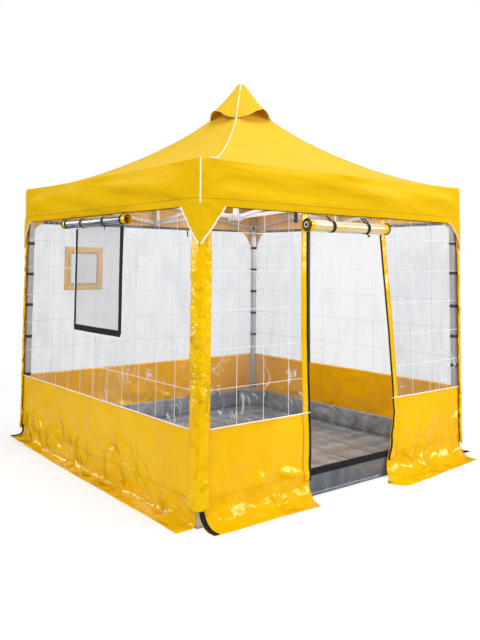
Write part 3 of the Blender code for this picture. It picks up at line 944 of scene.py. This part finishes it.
def wall_parts(turn):
    """The cloth panels of a wall: a plain wall is one, the door wall is split by its doorway."""
    if turn == FRONT:
        return (("_left", -WALL_END, DOOR_LEFT_EDGE), ("_right", DOOR_RIGHT_EDGE, WALL_END))
    return (("", -WALL_END, WALL_END),)


def flap_ends(turn, part):
    """Left and right edges of the lower cloth, which spreads or narrows out along its flap."""
    foot = SEAM - flap_length(turn)
    if part == "_left":
        door = edge_at(DOOR_LEFT_EDGE, SEAM)
        spread = ((foot, door - 0.075), (SEAM - 0.09, door - 0.012), (SEAM, door))
        return -WALL_END, spread + DOOR_LEFT_EDGE[1:]
    if part == "_right":
        door = edge_at(DOOR_RIGHT_EDGE, SEAM)
        spread = ((foot, door - 0.140), (SEAM - 0.17, door - 0.086), (SEAM - 0.09, door - 0.030),
                  (SEAM, door))
        return spread + DOOR_RIGHT_EDGE[2:], WALL_END
    return -WALL_END, WALL_END


def round_corner(turn, part, from_left, level):
    """Shortens the flap towards its rounded corner beside the doorway."""
    if part != "_right" or from_left >= DOOR_FLAP_ROUND:
        return 1.0
    missing = DOOR_FLAP_ROUND - from_left
    cut = DOOR_FLAP_ROUND - math.sqrt(max(0.0, DOOR_FLAP_ROUND ** 2 - missing ** 2))
    return 1 - smooth(0.3, 1.0, level) * cut / flap_length(turn)


def build_lower_cloth(turn):
    """The yellow band with its ground flap, one sheet from the piping down to the hem."""
    side = SIDE_NAMES[turn]
    for part, _, _ in wall_parts(turn):
        left, right = flap_ends(turn, part)
        low, high = edge_at(left, SEAM), edge_at(right, SEAM)
        width = high - low
        length = flap_length(turn, (low + high) / 2)
        shares = steps(0.0, 1.0, STEP / width)
        rows = [[wall_point(turn, s, h) for s in across(left, right, h, shares)]
                for h in steps(BAND_TOP, SEAM, STEP)]
        for level in steps(0.0, 1.0, STEP / length)[1:]:
            row = []
            for share, s in zip(shares, across(left, right, SEAM - length * level, shares)):
                rounding = round_corner(turn, part, share * width, level)
                row.append(wall_point(turn, s, SEAM - flap_length(turn, s) * level * rounding))
            rows.append(row)
        name = f"{side}_wall_lower_cloth{part}"
        cloth = surface(name, rows, [vinyl, vinyl_inside_shaded], thickness=CLOTH_THICKNESS)
        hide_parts(f"{side}_wall_band{part}", f"{side}_wall_skirt{part}")


def build_film(turn):
    side = SIDE_NAMES[turn]
    material = far_film if turn in (RIGHT, BACK) else film
    for part, left, right in wall_parts(turn):
        name = f"{side}_wall_film_cloth{part}"
        cloth = wall_sheet(name, turn, left, right, WALL_TOP, BAND_TOP + 0.001, [material],
                           step=0.016)
        if turn == LEFT:
            cut_opening(cloth, turn, WINDOW)
        if turn == BACK:
            cut_opening(cloth, turn, PANE)
        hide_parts(f"{side}_wall_film{part}")


def cut_opening(obj, turn, opening):
    """Takes the cloth out of a window's opening, with clean edges."""
    along, up = turned((1, 0, 0), turn), Vector((0, 0, 1))
    k = lean((opening.top + opening.bottom) / 2)
    cuts = ((along * opening.left * k, along), (along * opening.right * k, along),
            (up * opening.bottom, up), (up * opening.top, up))
    with mesh_edit(obj) as bm:
        for place, normal in cuts:
            geometry = bm.verts[:] + bm.edges[:] + bm.faces[:]
            bmesh.ops.bisect_plane(bm, geom=geometry, plane_co=place, plane_no=normal)
        inside = []
        for face in bm.faces:
            centre = face.calc_center_median()
            if within(opening, centre.dot(along) / k, centre.z):
                inside.append(face)
        bmesh.ops.delete(bm, geom=inside, context="FACES")


def thread_columns(turn):
    """Places of the upright threads, counted from a little off the wall's middle."""
    offset = {FRONT: 0.048, RIGHT: 0.030, BACK: -0.020, LEFT: -0.006}[turn]
    places = [offset + THREAD_PITCH * i for i in range(-6, 7)]
    return [s for s in places if abs(s) < WALL_END - 0.03]


def build_threads(turn):
    """The white thread grid welded into the film, left out over openings."""
    opening = {LEFT: grown(WINDOW, LAP), BACK: grown(PANE, FRAME_WIDTH)}.get(turn)
    lines = []
    for part, left, right in wall_parts(turn):
        for level in THREAD_LEVELS:
            sag = 0.004 * wave(level * 9, turn, 0.5)
            lines.append([(edge_at(left, level), level + sag), (edge_at(right, level), level)])
        for s in thread_columns(turn):
            inside = edge_at(left, 1.2) + 0.02 < s < edge_at(right, 1.2) - 0.02
            if inside and edge_at(left, 0.6) < s < edge_at(right, 0.6):
                lines.append([(s, WALL_TOP), (s + 0.006 * wave(s * 8, turn, 1.5), BAND_TOP)])
    paths = []
    for ends in lines:
        paths.append([])
        for s, h in line_points(ends):
            if opening and within(opening, s, h):
                paths.append([])
            else:
                paths[-1].append(on_wall(turn, s, h, 0.0004))
    paths = [path for path in paths if len(path) > 1]
    ribbons(f"{SIDE_NAMES[turn]}_wall_threads", paths, THREAD_WIDTH, 0.0007, white_thread)


def build_wall_trim(turn):
    """White piping on the band, the double seam above the flap, and the tape at the flap's end."""
    side = SIDE_NAMES[turn]
    tape_place = -WALL_END + 0.020
    piping, seam, tape = [], [], []
    for part, _, _ in wall_parts(turn):
        left, right = flap_ends(turn, part)
        ends = [(edge_at(left, BAND_TOP), BAND_TOP), (edge_at(right, BAND_TOP), BAND_TOP)]
        piping.append([point for point, normal in wall_path(turn, ends, 0.0035)])
        for h in (SEAM + SEAM_GAP / 2, SEAM - SEAM_GAP / 2):
            ends = [(edge_at(left, h) + 0.012, h), (edge_at(right, h) - 0.012, h)]
            seam += stitches(turn, ends, 0.0002)
        if part != "_right":
            ends = [(tape_place, SEAM - 0.02), (tape_place, SEAM - flap_length(turn, -WALL_END))]
            tape.append(wall_path(turn, ends, 0.0004, 0.012))
    tubes(f"{side}_band_piping", piping, 0.0040, white_piping)
    ribbons(f"{side}_seam_stitching", seam, 0.0016, 0.0005, yellow_thread)
    ribbons(f"{side}_flap_tape", tape, 0.036, 0.0015, black_tape)


def strip_point(turn, width, foot, z, share):
    """A point of a corner's folded strip; share runs from -1 over the fold at 0 to 1."""
    place = share * width
    depth = WALL + 0.0075
    crease = 0.0105 * crumple(place * 11 + z * 3.0, z * 12.0, 83 + turn * 3)
    crease += 0.0060 * wave(place * 12 + z * 5.0, z * 17.0, 87 + turn * 3)
    bulge = 0.005 * math.sin(math.pi * abs(share)) + (0.5 + 0.5 * abs(share)) * crease
    flare = smooth(0.30, foot, z) * 0.004
    free = smooth(1.68, 1.54, z)
    d = depth + max(-0.003, bulge + 0.005) * free - 0.0035 * (1 - free) + flare
    reach = -depth + abs(place)
    if share == 0:
        x, y = -depth - flare, -depth - flare
    elif share < 0:
        x, y = -d, reach
    else:
        x, y = reach, -d
    return turned((x * lean(z), y * lean(z), z), turn)


def build_corner_strips():
    """Folded strips that close the wall joints: a wide sleeve in front, narrow ones elsewhere."""
    foot = 0.10
    for turn, corner in enumerate(CORNER_NAMES):
        wide = corner == "front_left"
        width = 0.080 if wide else 0.030
        name = "corner_sleeve" if wide else f"corner_strip_{corner}"
        rows = [[strip_point(turn, width, foot, z, share) for share in steps(-1.0, 1.0, 0.0834)]
                for z in steps(WALL_TOP, foot, 0.009)]
        cloth = surface(f"{name}_cloth", rows, [crinkled_vinyl, vinyl_inside_shaded],
                        thickness=CLOTH_THICKNESS)
        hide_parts(name)


def build_jambs():
    """Yellow strips beside the doorway, with black hook tape along their inner edges."""
    full = JAMB_WIDTH + JAMB_TAPE
    for half, edge, sign in (("left", DOOR_LEFT_EDGE, -1), ("right", DOOR_RIGHT_EDGE, 1)):
        outer = tuple((h, s + sign * full) for h, s in edge)
        left, right = (outer, edge) if sign < 0 else (edge, outer)
        strip = wall_sheet(f"door_jamb_{half}_strip", FRONT, left, right, JAMB_TOP, JAMB_FOOT,
                           [vinyl, vinyl_inside_shaded], out=0.0035, thickness=CLOTH_THICKNESS, step=0.010)
        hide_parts(f"door_jamb_{half}")
        ends = [(s + sign * JAMB_TAPE / 2, h) for h, s in reversed(edge) if h > SEAM - 0.04]
        ends.append((edge_at(edge, JAMB_FOOT) + sign * JAMB_TAPE / 2, JAMB_FOOT))
        tape = wall_path(FRONT, ends, 0.0040)
        ribbons(f"door_jamb_{half}_tape", [tape], JAMB_TAPE, 0.0022, black_tape)
        ends = [(s + sign * (full - 0.006), h) for h, s in reversed(edge) if h > SEAM]
        seam = stitches(FRONT, ends, 0.0038)
        ribbons(f"door_jamb_{half}_stitching", seam, 0.0014, 0.0004, yellow_thread)


def build_header():
    left, right = DOOR_LEFT_EDGE[-1][1] + 0.002, DOOR_RIGHT_EDGE[-1][1] - 0.002
    header = wall_sheet("front_wall_header_cloth", FRONT, left, right, WALL_TOP, DOOR_TOP, [film])
    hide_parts("front_wall_header")


# Rolled covers


def round_roll(roll, s, radius, angle, droop):
    """A point on a circle about a roll's axis: angle 0 is away from the wall, a quarter turn is up."""
    d = WALL + ROLL_GAP + roll.radius + radius * math.cos(angle)
    return side_point(roll.turn, s, d, roll.height - droop + radius * math.sin(angle))


def build_roll(name, roll, sheet_length, pitch, end_band, node, body_material):
    """A cover rolled up in a spiral; its side borders and its inmost turns are yellow."""
    length = roll.end - roll.start
    inner = math.sqrt(max(0.0001, roll.radius ** 2 - sheet_length * pitch / math.pi))
    angles = steps(0.0, (roll.radius - inner) / pitch * 2 * math.pi, math.radians(9))
    across_roll = [0.0, end_band * 0.5, end_band]
    across_roll += steps(end_band, length - end_band, 0.03)[1:-1]
    across_roll += [length - end_band, length - end_band * 0.5, length]
    rows, indices = [], []
    for angle in angles:
        radius = inner + pitch * angle / (2 * math.pi)
        row = []
        for x in across_roll:
            loose = 0.0012 * wave(x * 7, angle * 0.8, 91 + roll.turn)
            ends = 0.0015 * wave(angle * 0.5, 3.0, 95 + roll.turn) * (abs(x / length - 0.5) * 2) ** 6
            r = radius + loose * radius / roll.radius
            droop = ROLL_DROOP * math.sin(math.pi * x / length)
            row.append(round_roll(roll, roll.start + x + ends, r, angle, droop))
        rows.append(row)
    for i in range(len(angles) - 1):
        for near, far in zip(across_roll, across_roll[1:]):
            border = far <= end_band + 0.0001 or near >= length - end_band - 0.0001
            indices.append(0 if border or i / len(angles) < 0.55 else 1)
    cover = surface(name, rows, [vinyl, body_material], indices=indices)
    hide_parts(node)


def roll_ring(roll, s, radius, count=28):
    """A closed path of points and normals round a roll."""
    middle = (roll.start + roll.end) / 2
    droop = ROLL_DROOP * (1 - ((s - middle) / (roll.end - middle)) ** 2)
    path = []
    for i in range(count):
        angle = 2 * math.pi * i / count
        normal = turned((0, -math.cos(angle), math.sin(angle)), roll.turn)
        path.append((round_roll(roll, s, radius, angle, droop), normal))
    return path


def roll_rings(name, roll, places, over, thickness, material=black_strap):
    """Round binding about a roll, over metres proud of it."""
    rings = [[point for point, normal in roll_ring(roll, s, roll.radius + over)] for s in places]
    tubes(name, rings, thickness, material, closed=True)


def strap_tail(roll, s, drop, sway):
    """A strap's loose end, hanging from under a roll."""
    path = []
    for share in steps(0.0, 1.0, 0.125):
        d = WALL + ROLL_GAP + roll.radius + 0.004 + sway * share ** 2
        z = roll.height - roll.radius - drop * share
        path.append((side_point(roll.turn, s + 0.012 * share ** 2, d, z), outward(roll.turn)))
    return path


def strap_hanger(roll, s):
    """A strap's run from behind the valance's lower edge to the top of the roll."""
    start, end = WALL + 0.004, WALL + ROLL_GAP + roll.radius - 0.004
    path = []
    for share in steps(0.0, 1.0, 0.125):
        d = start + (end - start) * share ** 0.7
        z = roll.height + roll.radius + (1 - share) * 0.032
        path.append((side_point(roll.turn, s - 0.008 * (1 - share), d, z), turned((0, -1, 0.4), roll.turn)))
    return path


def build_door_roll():
    """The rolled door cover with its straps, its turns seen at the end, its pin and its bracket."""
    roll = DOOR_ROLL
    build_roll("door_cover_roll", roll, 1.62, 0.0027, 0.048, "door_roll", rolled_door_film)
    places = (-0.230, 0.105, 0.137)
    straps = [roll_ring(roll, s, roll.radius + 0.0015) for s in places[:2]]
    ribbons("door_roll_straps", straps, 0.025, 0.0018, black_strap, closed=True)
    tails = [strap_hanger(roll, s) for s in places] + [strap_tail(roll, 0.120, 0.024, 0.01)]
    ribbons("door_roll_strap_ends", tails, 0.014, 0.0014, black_strap)
    roll_rings("door_roll_end_rings", roll, (roll.start + 0.004, roll.end + 0.001), 0.001, 0.0042)
    # A black plug in the roll's end: painted shade standing in for the dark hollow of the roll.
    hollow_shade = [side_point(FRONT, roll.start + reach, CORE_DEPTH, roll.height) for reach in (-0.004, 0.030)]
    tubes("door_roll_hollow_shade", [hollow_shade], 0.013, black_strap)
    for name, over, material in (("dark", -0.012, black_strap), ("pale", -0.0205, white_piping)):
        roll_rings(f"door_roll_{name}_turn", roll, (roll.start - 0.002,), over, 0.0042, material)
    pin = [side_point(FRONT, roll.end + reach, CORE_DEPTH, roll.height - 0.004) for reach in (0.002, 0.034)]
    tubes("door_roll_pin", [pin], 0.009, dark_strip)
    plate = [(side_point(FRONT, -0.500, WALL - 0.006, z), outward(FRONT)) for z in (1.830, 1.755)]
    ribbons("door_bracket", [plate], 0.024, 0.008, dark_plastic)


def build_window_roll():
    roll = WINDOW_ROLL
    build_roll("window_cover_roll", roll, 0.78, 0.0021, 0.052, "window_roll", rolled_window_film)
    places = (roll.start + 0.052, roll.start + 0.30, roll.start + 0.62, roll.end - 0.052)
    straps = [roll_ring(roll, s, roll.radius + 0.0015) for s in places]
    ribbons("window_roll_straps", straps, 0.017, 0.0016, black_strap, closed=True)
    tail = strap_tail(roll, places[2], 0.030, 0.006)
    ribbons("window_roll_strap_ends", [tail], 0.012, 0.0014, black_strap)
    roll_rings("window_roll_end_ring", roll, (roll.start + 0.002,), 0.001, 0.0035)


# Windows


def window_patch(name, turn, opening, material, step=STEP):
    """A sheet just behind the wall's cloth that laps the edges of an opening."""
    left, right, bottom, top = grown(opening, LAP)
    return wall_sheet(name, turn, left, right, top, bottom, [material], out=-0.003, step=step)


def build_left_window():
    """The mesh window: black hook tape on three sides and a clear hem outside it."""
    left, right, bottom, top = WINDOW
    mesh = window_patch("window_mesh", LEFT, WINDOW, screen, step=0.03)
    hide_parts("window_screen")
    tapes = (
        ("left", [(left - 0.004, top), (left - 0.004, bottom - 0.018)], 0.030, 0.0008),
        ("right", [(right + 0.014, top), (right + 0.014, bottom - 0.018)], 0.042, 0.0008),
        ("bottom", [(left - 0.014, bottom - 0.016), (right + 0.023, bottom - 0.016)], 0.042, 0.0012),
    )
    for name, ends, width, out in tapes:
        path = wall_path(LEFT, ends, out)
        tape = ribbons(f"window_tape_{name}", [path], width, 0.0018, black_tape)
        if name == "bottom":
            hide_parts("window_edging")
    low, near, far = bottom - 0.046, left - 0.030, right + 0.042
    hem = wall_path(LEFT, [(near, top), (near, low), (far, low), (far, top)], 0.0005)
    ribbons("window_hem", [hem], 0.010, 0.0008, white_thread)


def frame_band(name, turn, opening, width, out, materials):
    """A flat frame that follows the cloth round an opening."""
    edges = []
    for corners in (loop_round(opening), loop_round(grown(opening, width))):
        edges.append([between(start, end, share) for start, end in zip(corners, corners[1:])
                      for share in steps(0.0, 1.0, 1 / 16)[:-1]])
    rows = []
    for share in steps(0.0, 1.0, 0.2):
        row = [wall_point(turn, *between(inner, outer, share), out) for inner, outer in zip(*edges)]
        rows.append(row[::-1])
    return surface(name, rows, materials, closed=True, thickness=CLOTH_THICKNESS)


def build_back_window():
    """A small square window with a sewn yellow frame."""
    yellow = frame_band("back_window_border", BACK, PANE, FRAME_WIDTH, 0.003, [vinyl, vinyl_inside_shaded])
    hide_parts("back_window_frame")
    pane = window_patch("back_window_film", BACK, PANE, pane_film)
    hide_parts("back_window_pane")
    s, h = (PANE.left + PANE.right) / 2, (PANE.top + PANE.bottom) / 2
    cross = [wall_path(BACK, [(s, PANE.top), (s, PANE.bottom)], -0.001),
             wall_path(BACK, [(PANE.left, h), (PANE.right, h)], -0.001)]
    ribbons("back_window_threads", cross, THREAD_WIDTH, 0.0007, white_thread)
    # A dark grey band round the pane: painted shade along the frame's inner edge.
    binding = wall_path(BACK, loop_round(grown(PANE, 0.006)), 0.0034)
    ribbons("back_window_edge_shade", [binding], 0.012, 0.0012, dark_strip)


def build_right_wall_strip():
    """A dark grey tape that runs up the right wall's film beside the back corner."""
    path = wall_path(RIGHT, [(0.412, WALL_TOP), (0.405, BAND_TOP)], -0.004)
    ribbons("right_wall_dark_strip", [path], 0.042, 0.0014, dark_strip)


# Groundsheet


def tub_outline(edge, spacing=0.03):
    """Points round the groundsheet at half width edge, its corners cut across."""
    points = []
    inner = TUB_HALF - TUB_CORNER
    start, end = Vector((-inner, -edge, 0)), Vector((inner, -edge, 0))
    following = turned(start, 1)
    count = round(2 * inner / spacing)
    cut = round(TUB_CORNER * 1.414 / spacing) + 1
    for turn in range(4):
        points += [turned(start.lerp(end, i / count), turn) for i in range(count)]
        points += [turned(end.lerp(following, i / cut), turn) for i in range(cut)]
    return points


def build_groundsheet():
    """The tub: its upstand, its bend at the foot and the rippled floor, with the door's threshold tape."""
    rows = []
    for z in steps(TUB_HEIGHT, TUB_BEND, (TUB_HEIGHT - TUB_BEND) / 11):
        row = []
        for point in tub_outline(TUB_HALF):
            proud = 0.0026 * crumple(point.x * 5, point.y * 5, z * 9 + 101) - 0.0010
            row.append(point + point.normalized() * proud + Vector((0, 0, z)))
        rows.append(row)
    for share in steps(0.0, 1.0, 0.25)[1:]:
        z = max(TUB_BEND * (1 - share), 0.0018)
        edge = TUB_HALF + (TUB_FOOT - TUB_HALF) * share
        rows.append([point + Vector((0, 0, z)) for point in tub_outline(edge)])
    foot = rows[-1]
    for share in steps(1.0, 0.0, 1 / 46)[1:-1]:
        row = []
        for point in foot:
            place = point * share
            ripple = 0.0060 * (wave(place.x * 0.5, place.y * 3.0, 105) + 0.35)
            ripple += 0.0030 * (wave(place.x * 2.6, place.y * 0.5, 109) + 0.35)
            row.append(Vector((place.x, place.y, 0.0025 + max(0.0, ripple) * smooth(1.0, 0.93, share))))
        rows.append(row)
    sheet = surface("groundsheet_cloth", rows, [slate_vinyl, grey_vinyl], closed=True,
                    thickness=CLOTH_THICKNESS)
    fill_ring(sheet, slice(-len(foot), None))
    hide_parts("groundsheet")
    path = []
    for x in steps(edge_at(DOOR_LEFT_EDGE, TUB_HEIGHT), edge_at(DOOR_RIGHT_EDGE, TUB_HEIGHT), 0.02):
        y = -TUB_HALF - 0.0022 + 0.0015 * wave(x * 5, 2.0, 117)
        path.append((Vector((x, y, TUB_HEIGHT - THRESHOLD_DEPTH / 2)), outward(FRONT)))
    strip = ribbons("threshold_hook_tape", [path], THRESHOLD_DEPTH, 0.0018, black_tape)
    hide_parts("threshold_strip")


# Frame details


def leg_centre(turn, z):
    return side_point(turn, -LEG_CENTRE, LEG_CENTRE, z)


def build_leg_straps():
    """Black hook-and-loop straps that tie the walls to each leg, one at each thread level."""
    paths = []
    half = LEG / 2 + 0.0008
    for turn, corner in enumerate(CORNER_NAMES):
        for z in STRAP_LEVELS[corner]:
            path = []
            for x, y in ((-1, -1), (1, -1), (1, 1), (-1, 1)):
                for push in (0.8, 1.0):
                    near = (x, y * push, 0) if x * y > 0 else (x * push, y, 0)
                    path.append((leg_centre(turn, z) + Vector(near) * half, Vector((x, y, 0)).normalized()))
            paths.append(path)
    ribbons("leg_straps", paths, 0.024, 0.0022, black_strap, closed=True)


def build_leg_fittings():
    """Collars where the tubes slide and under the eave, and feet in a paler copy of the steel, painted light
    where the leg's foot sits in shade.
    """
    collars = bmesh.new()
    feet = bmesh.new()
    for turn in range(4):
        for z, width in ((0.215, 0.046), (1.86, 0.050), (2.05, 0.052)):
            size = Matrix.Diagonal((width, width, 0.036, 1.0))
            place = Matrix.Translation(leg_centre(turn, z))
            made = bmesh.ops.create_cube(collars, size=1.0, matrix=place @ size)
            edges = list(dict.fromkeys(edge for vertex in made["verts"] for edge in vertex.link_edges))
            bmesh.ops.bevel(collars, geom=edges, offset=0.004, segments=3, affect="EDGES")
        size = Matrix.Diagonal((0.044, 0.044, 0.090, 1.0))
        bmesh.ops.create_cube(feet, size=1.0, matrix=Matrix.Translation(leg_centre(turn, 0.048)) @ size)
    solids("leg_collars", collars, dark_plastic, sharp=35)
    solids("leg_feet", feet, lit_steel)


def build_bolts():
    """Round heads where the scissor bars cross and at their brackets."""
    crossing, bracket = 0.591, 1.152
    flattened = Matrix.Diagonal((1, 1, 0.5, 1))
    bolts = bmesh.new()
    for turn in range(4):
        tilt = turned((0, 1, 0), turn).to_track_quat("Z", "Y").to_matrix().to_4x4()
        for s in (-bracket, -crossing, 0.0, crossing, bracket):
            levels, depth = ((1.96,), 0.008) if abs(s) == crossing else ((1.87, 2.05), 0.0145)
            for z in levels:
                for d in (LEG_CENTRE - depth, LEG_CENTRE + depth):
                    place = Matrix.Translation(side_point(turn, s, d, z)) @ tilt @ flattened
                    bmesh.ops.create_uvsphere(bolts, u_segments=14, v_segments=8, radius=0.0085,
                                              matrix=place)
    solids("frame_bolts", bolts, steel, sharp=180)


def build_eyelets():
    """Two rings low on the left wall beside the sleeve, and a toggle higher up."""
    radius, count = 0.0065, 16
    rings = []
    for s, h in ((1.108, 0.140), (1.113, 0.106)):
        angles = [2 * math.pi * i / count for i in range(count)]
        rings.append([wall_point(LEFT, s + radius * math.cos(angle), h + radius * math.sin(angle), 0.0015)
                      for angle in angles])
    tubes("wall_eyelets", rings, 0.0022, steel, closed=True)
    hook = wall_path(LEFT, [(1.120, 1.680), (1.123, 1.655), (1.124, 1.645)], 0.003, 0.006)
    ribbons("wall_toggle", [hook], 0.008, 0.003, black_strap)


def dress_frame():
    for name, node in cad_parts.items():
        if name.startswith(("leg_", "truss_", "centre_mast")):
            node.data.materials.clear()
            node.data.materials.append(steel)


# Stage


def build_floor():
    """A pale floor that turns plain white away from the tent, so no horizon shows."""
    size = 60.0
    corners = [(-size, -size, 0), (size, -size, 0), (size, size, 0), (-size, size, 0)]
    mesh = bpy.data.meshes.new("floor")
    mesh.from_pydata(corners, [], [(0, 1, 2, 3)])
    plane = bpy.data.objects.new("floor", mesh)
    bpy.context.scene.collection.objects.link(plane)
    f = Finish("pale_floor")
    distance = f.node("VectorMath", operation="LENGTH")
    f.put(f.place, distance.inputs[0])
    far = f.graded(distance.outputs["Value"], 2.4, 5.5)
    rays = f.node("LightPath").outputs
    direct = f.graded(far, 0.0, 1.0, 0.66, 1.0)
    dimmed = f.graded(rays["Is Glossy Ray"], 0.0, 1.0, 1.0, 0.09)
    softer = f.graded(rays["Is Diffuse Ray"], 0.0, 1.0, 1.0, 0.92)
    f.set(colour=f.blend(far, (0.36, 0.365, 0.375), (0.0, 0.0, 0.0)), roughness=0.9, specular=0.0,
          glow_colour=(1, 1, 1), glow=f.product(direct, f.product(dimmed, softer)))
    mesh.materials.append(f.material)


def build_world():
    """White surroundings: full for the camera, softer as light, and dim in reflections."""
    full, as_light, reflected = 1.0, 0.58, 0.10
    world = bpy.data.worlds.new("studio")
    bpy.context.scene.world = world
    world.use_nodes = True
    sky = Nodes(world.node_tree)
    background = world.node_tree.nodes["Background"]
    rays = sky.node("LightPath").outputs
    strength = sky.math("MULTIPLY_ADD", rays["Is Camera Ray"], full - as_light, as_light)
    strength = sky.math("MULTIPLY_ADD", rays["Is Glossy Ray"], reflected - as_light, strength)
    sky.put((1, 1, 1), background.inputs["Color"])
    sky.put(strength, background.inputs["Strength"])


def build_lights():
    """Soft boxes; the cards show in glossy cloth only."""
    middle, low, ground = Vector((0, 0, 1.1)), Vector((0, 0, 0.4)), Vector((0, 0, 0))
    lamps = (
        ("key", (4.5, -6.5, 5.5), middle, (2.4, 2.4), 182.0),
        ("left_upper", (-5.5, -2.5, 6.5), middle, (2.6, 2.6), 180.0),
        ("top", (0.5, -1.0, 7.5), middle, (3.0, 3.0), 100.0),
        ("back_left_card", (-5.4, 6.6, 3.5), low, (7.0, 2.4), 330.0),
        ("right_card", (7.2, -6.9, 3.6), low, (6.0, 2.2), 190.0),
        ("right_box", (6.8, -6.6, 3.2), low, (2.6, 2.6), 150.0),
        ("inside_glow", (0, 0, 2.02), ground, (1.9, 1.9), 37.0),
    )
    for name, place, target, size, power in lamps:
        lamp = bpy.data.lights.new(name, "AREA")
        lamp.shape = "RECTANGLE"
        lamp.size, lamp.size_y = size
        lamp.energy = power
        obj = bpy.data.objects.new(name, lamp)
        obj.location = place
        obj.rotation_euler = (target - Vector(place)).to_track_quat("-Z", "Y").to_euler()
        obj.visible_camera = False
        obj.visible_diffuse = not name.endswith("card")
        bpy.context.scene.collection.objects.link(obj)


def build_camera():
    """The photograph's viewpoint: level, 5.8 m from the tent's middle."""
    sensor = 36.0
    image_height = 640
    focal_pixels = 708.773
    horizon_row = 263.679
    yaw, roll = math.radians(38.927), math.radians(0.489)
    ahead = Vector((math.sin(yaw), math.cos(yaw), 0))
    right = ahead.cross(Vector((0, 0, 1)))
    up = right.cross(ahead)
    level_right = math.cos(roll) * right + math.sin(roll) * up
    level_up = math.cos(roll) * up - math.sin(roll) * right
    matrix = Matrix((level_right, level_up, -ahead)).transposed().to_4x4()
    matrix.translation = (-3.5925, -4.510, 1.4925)
    camera = bpy.data.objects.new("camera", bpy.data.cameras.new("camera"))
    camera.matrix_world = matrix
    camera.data.sensor_width = sensor
    camera.data.lens = focal_pixels / image_height * sensor
    camera.data.shift_y = (horizon_row - image_height / 2) / image_height
    camera.data.clip_start = 0.05
    bpy.context.scene.collection.objects.link(camera)
    bpy.context.scene.camera = camera
    bpy.context.scene.view_settings.view_transform = "Standard"


build_camera()
build_floor()
build_world()
build_lights()
dress_frame()
build_canopy()
build_hood()
build_canopy_piping()
build_valance_hem()
for wall in (FRONT, RIGHT, BACK, LEFT):
    build_lower_cloth(wall)
    build_film(wall)
    build_threads(wall)
    build_wall_trim(wall)
build_corner_strips()
build_jambs()
build_header()
build_door_roll()
build_window_roll()
build_left_window()
build_back_window()
build_right_wall_strip()
build_groundsheet()
build_leg_straps()
build_leg_fittings()
build_bolts()
build_eyelets()
